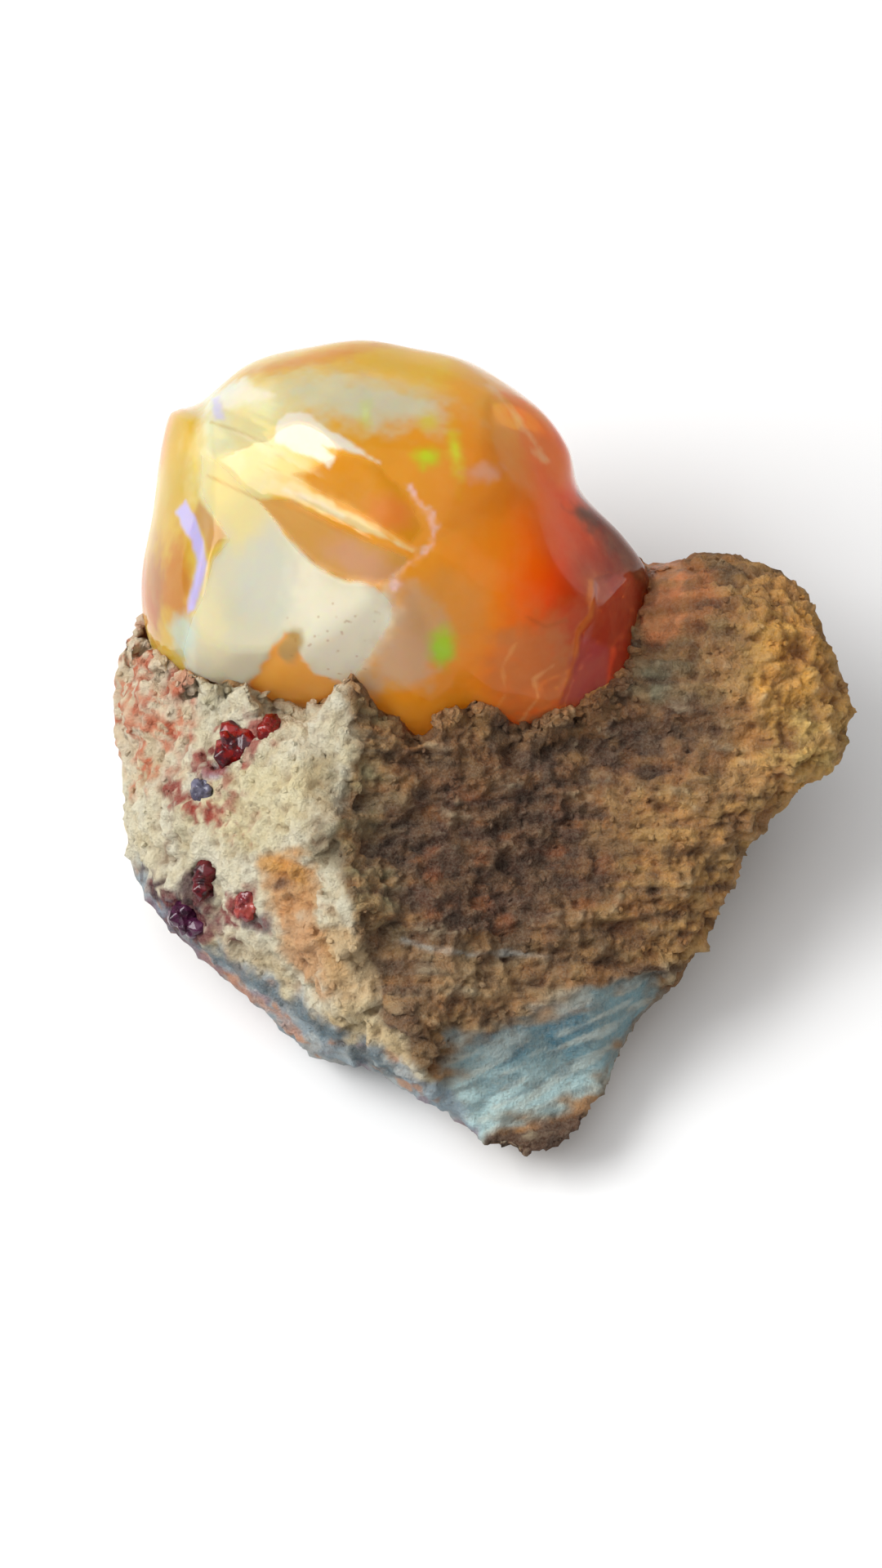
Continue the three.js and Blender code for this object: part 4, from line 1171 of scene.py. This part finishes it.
def crumb_tree():
    """Geometry Nodes that scatter small angular crumbs, half sunk, where the rock is crumbly."""
    tree, given, result = nodes_tree("rock_crumbs", [
        ("Crumbs per square millimetre", "Float", 2.0), ("Crumb size", "Float", 0.6), ("Seed", "Int", 7)])
    crumbly = carried_value(tree, "crumbly")
    density = times(tree, times(tree, given["Crumbs per square millimetre"], PER_METRE**2), crumbly)
    spots = node(tree, "GeometryNodeDistributePointsOnFaces", {
        "Mesh": given["Geometry"], "Density": density, "Seed": given["Seed"]}).outputs["Points"]
    ball = node(tree, "GeometryNodeMeshIcoSphere", {"Radius": 0.5 * MM, "Subdivisions": 2}).outputs["Mesh"]
    broken = node(tree, "ShaderNodeTexNoise", {
        "Vector": place_in_millimetres(tree), "Scale": 2.2, "Detail": 1.0}).outputs["Color"]
    knocked = scaled(tree, vectors(tree, "SUBTRACT", broken, (0.5, 0.5, 0.5)), 0.7 * MM)

    def random_rows(low, high, seed):
        return node(tree, "FunctionNodeRandomValue", {0: low, 1: high, "Seed": seed},
                    data_type="FLOAT_VECTOR").outputs[0]

    size = times(tree, given["Crumb size"], plus(tree, 0.8, times(tree, crumbly, 0.7)))
    placed = node(tree, "GeometryNodeInstanceOnPoints", {
        "Points": spots, "Instance": moved_by(tree, ball, knocked),
        "Rotation": random_rows((0, 0, 0), (6.28, 6.28, 6.28), given["Seed"]),
        "Scale": scaled(tree, random_rows((0.45, 0.45, 0.35), (1.3, 1.1, 0.9), 3), size)})
    return finish_tree(tree, placed.outputs[0], given, result)


def with_nodes(mesh, tree, **inputs):
    """The mesh after a Geometry Nodes tree with the named inputs set."""
    carrier = carrier_of(mesh)
    modifier = carrier.modifiers.new("nodes", "NODES")
    modifier.node_group = tree
    sockets = {s.name: s.identifier for s in tree.interface.items_tree if s.in_out == "INPUT"}
    for key, value in inputs.items():
        modifier[sockets[key.replace("_", " ").capitalize()]] = value
    return baked(carrier)


def keep_above_floor(mesh):
    points = per_vertex(mesh)
    points[:, 2] = np.maximum(points[:, 2], 0.0)
    move_vertices(mesh, points)


def make_rock():
    mesh = fine_copy(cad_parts["host_rock"])
    broken_skin(mesh)
    rock_regions(mesh)
    stone = rock_material()
    mesh.materials.clear()
    mesh = with_nodes(mesh, rock_relief_tree(), lump_height=2.2, streak_height=2.6, grain_height=0.95,
                      pit_depth=0.35, seed=4.0, material=stone)
    keep_above_floor(mesh)
    mesh.shade_smooth()
    crumbs = with_nodes(mesh.copy(), crumb_tree(), crumbs_per_square_millimetre=CRUMBS_PER_SQUARE_MM,
                        crumb_size=0.6, seed=7, material=stone)
    keep_above_floor(crumbs)
    link("rock_crumbs", crumbs, "host_rock")
    link("broken_rock", mesh, "host_rock")


# ---- blebs ----
# The slot of each bleb, and its light and dark colour.
BLEB_LOOKS = {
    "cherry_bleb": ("red_bleb", "#b01c18", "#4c0c1c"),
    "crimson_bleb": ("red_bleb", "#a8261c", "#6a1418"),
    "garnet_bleb": ("red_bleb", "#7a1824", "#2c0814"),
    "rose_bleb": ("red_bleb", "#c85a50", "#8a2a34"),
    "violet_bleb": ("violet_bleb", "#6c3058", "#38142c"),
    "grey_bead": ("grey_bleb", "#8c8aa4", "#5c5a70"),
}
BLEB_VOXEL = 0.07  # side of the cells in which the lumps are grown together
BLEB_SMOOTHING = 1
LUMPS_IN_BLEB = 16
LEAST_LUMP = 0.1 * MM


def make_bleb(name):
    """A glassy bleb: small lumps grown together in its pocket."""
    slot, light, dark = BLEB_LOOKS[name]
    low, high = (np.array(corner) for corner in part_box(name))
    source = per_vertex(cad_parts[name].data)
    middle = (low + high) / 2
    dice = np.random.default_rng(len(name))
    shape = bmesh.new()
    for _ in range(LUMPS_IN_BLEB):
        at = middle + (source[dice.integers(len(source))] - middle) * dice.uniform(0.4, 1.1)
        size = (high - low).min() * dice.uniform(0.24, 0.42) + LEAST_LUMP
        place = Matrix.Translation(at) @ Matrix.Rotation(dice.uniform(0, 3), 4, dice.normal(size=3))
        stretch = Matrix.Diagonal((*dice.uniform(0.6, 1.5, 3), 1))
        bmesh.ops.create_icosphere(shape, subdivisions=1, radius=size, matrix=place @ stretch)
    mesh = grown_together(mesh_from(shape, name + "_glass"), BLEB_VOXEL, BLEB_SMOOTHING)
    mesh.materials.clear()
    mesh.materials.append(bleb_material(name + "_glass", light, dark))
    mesh.shade_smooth()
    link(name + "_glass", mesh, name)


# ---- stage ----
FOCAL_LENGTH = 135
SENSOR_WIDTH = 36
FRAME_HEIGHT = 96  # millimetres of the show face's plane that the picture's long side takes in
AIM = (-2.475, -2.425, 1.0)
NEAREST_SEEN = 0.01
FLOOR_SIDE = 4  # metres
FLOOR_GREY = (0.86, 0.86, 0.86, 1)
STUDIO_LIGHT = 0.33
# Square lights: way from the specimen, distance and side in metres, and power.
SOFTBOXES = {"key": ((-0.7, 0.3, 0.64), 0.36, 0.22, 1.4), "overhead": ((0.0, 0.5, 0.87), 1.6, 2.0, 13.0)}


def softbox(name, towards, distance, side, power):
    """A square light that faces the specimen, placed by a direction in the show face's frame."""
    lamp = bpy.data.lights.new(name, "AREA")
    lamp.size = side
    lamp.energy = power
    holder = bpy.data.objects.new(name, lamp)
    bpy.context.scene.collection.objects.link(holder)
    direction = (FACE_TO_ROW.to_3x3() @ Vector(towards)).normalized()
    holder.location = FACE_TO_ROW @ Vector((0, 0, 0)) + direction * distance
    holder.rotation_euler = direction.to_track_quat("Z", "Y").to_euler()


def make_stage():
    bpy.ops.mesh.primitive_plane_add(size=FLOOR_SIDE)
    floor = bpy.context.object
    floor.name = "studio_floor"
    pale, tree, shader = new_material("studio_floor")
    fill(tree, shader, {"Base Color": FLOOR_GREY, "Roughness": 0.9})
    floor.data.materials.append(pale)
    world = bpy.data.worlds.new("studio")
    bpy.context.scene.world = world
    world.use_nodes = True
    fill(world.node_tree, world.node_tree.nodes["Background"], {0: (1, 1, 1, 1), 1: STUDIO_LIGHT})
    for name, settings in SOFTBOXES.items():
        softbox(name, *settings)


def make_camera():
    lens = bpy.data.cameras.new("camera")
    lens.lens = FOCAL_LENGTH
    lens.sensor_width = SENSOR_WIDTH
    lens.clip_start = NEAREST_SEEN
    camera = bpy.data.objects.new("camera", lens)
    bpy.context.scene.collection.objects.link(camera)
    away = Vector((0, 0, FRAME_HEIGHT * FOCAL_LENGTH / SENSOR_WIDTH))
    camera.location = FACE_TO_ROW @ (Vector(AIM) + away)
    camera.rotation_euler = (LEAN, 0, 0)
    bpy.context.scene.camera = camera


make_camera()
make_stage()
make_rock()
make_opal()
make_sealed_colours()
for bleb in BLEB_LOOKS:
    make_bleb(bleb)
bpy.context.scene.view_settings.view_transform = "Standard"
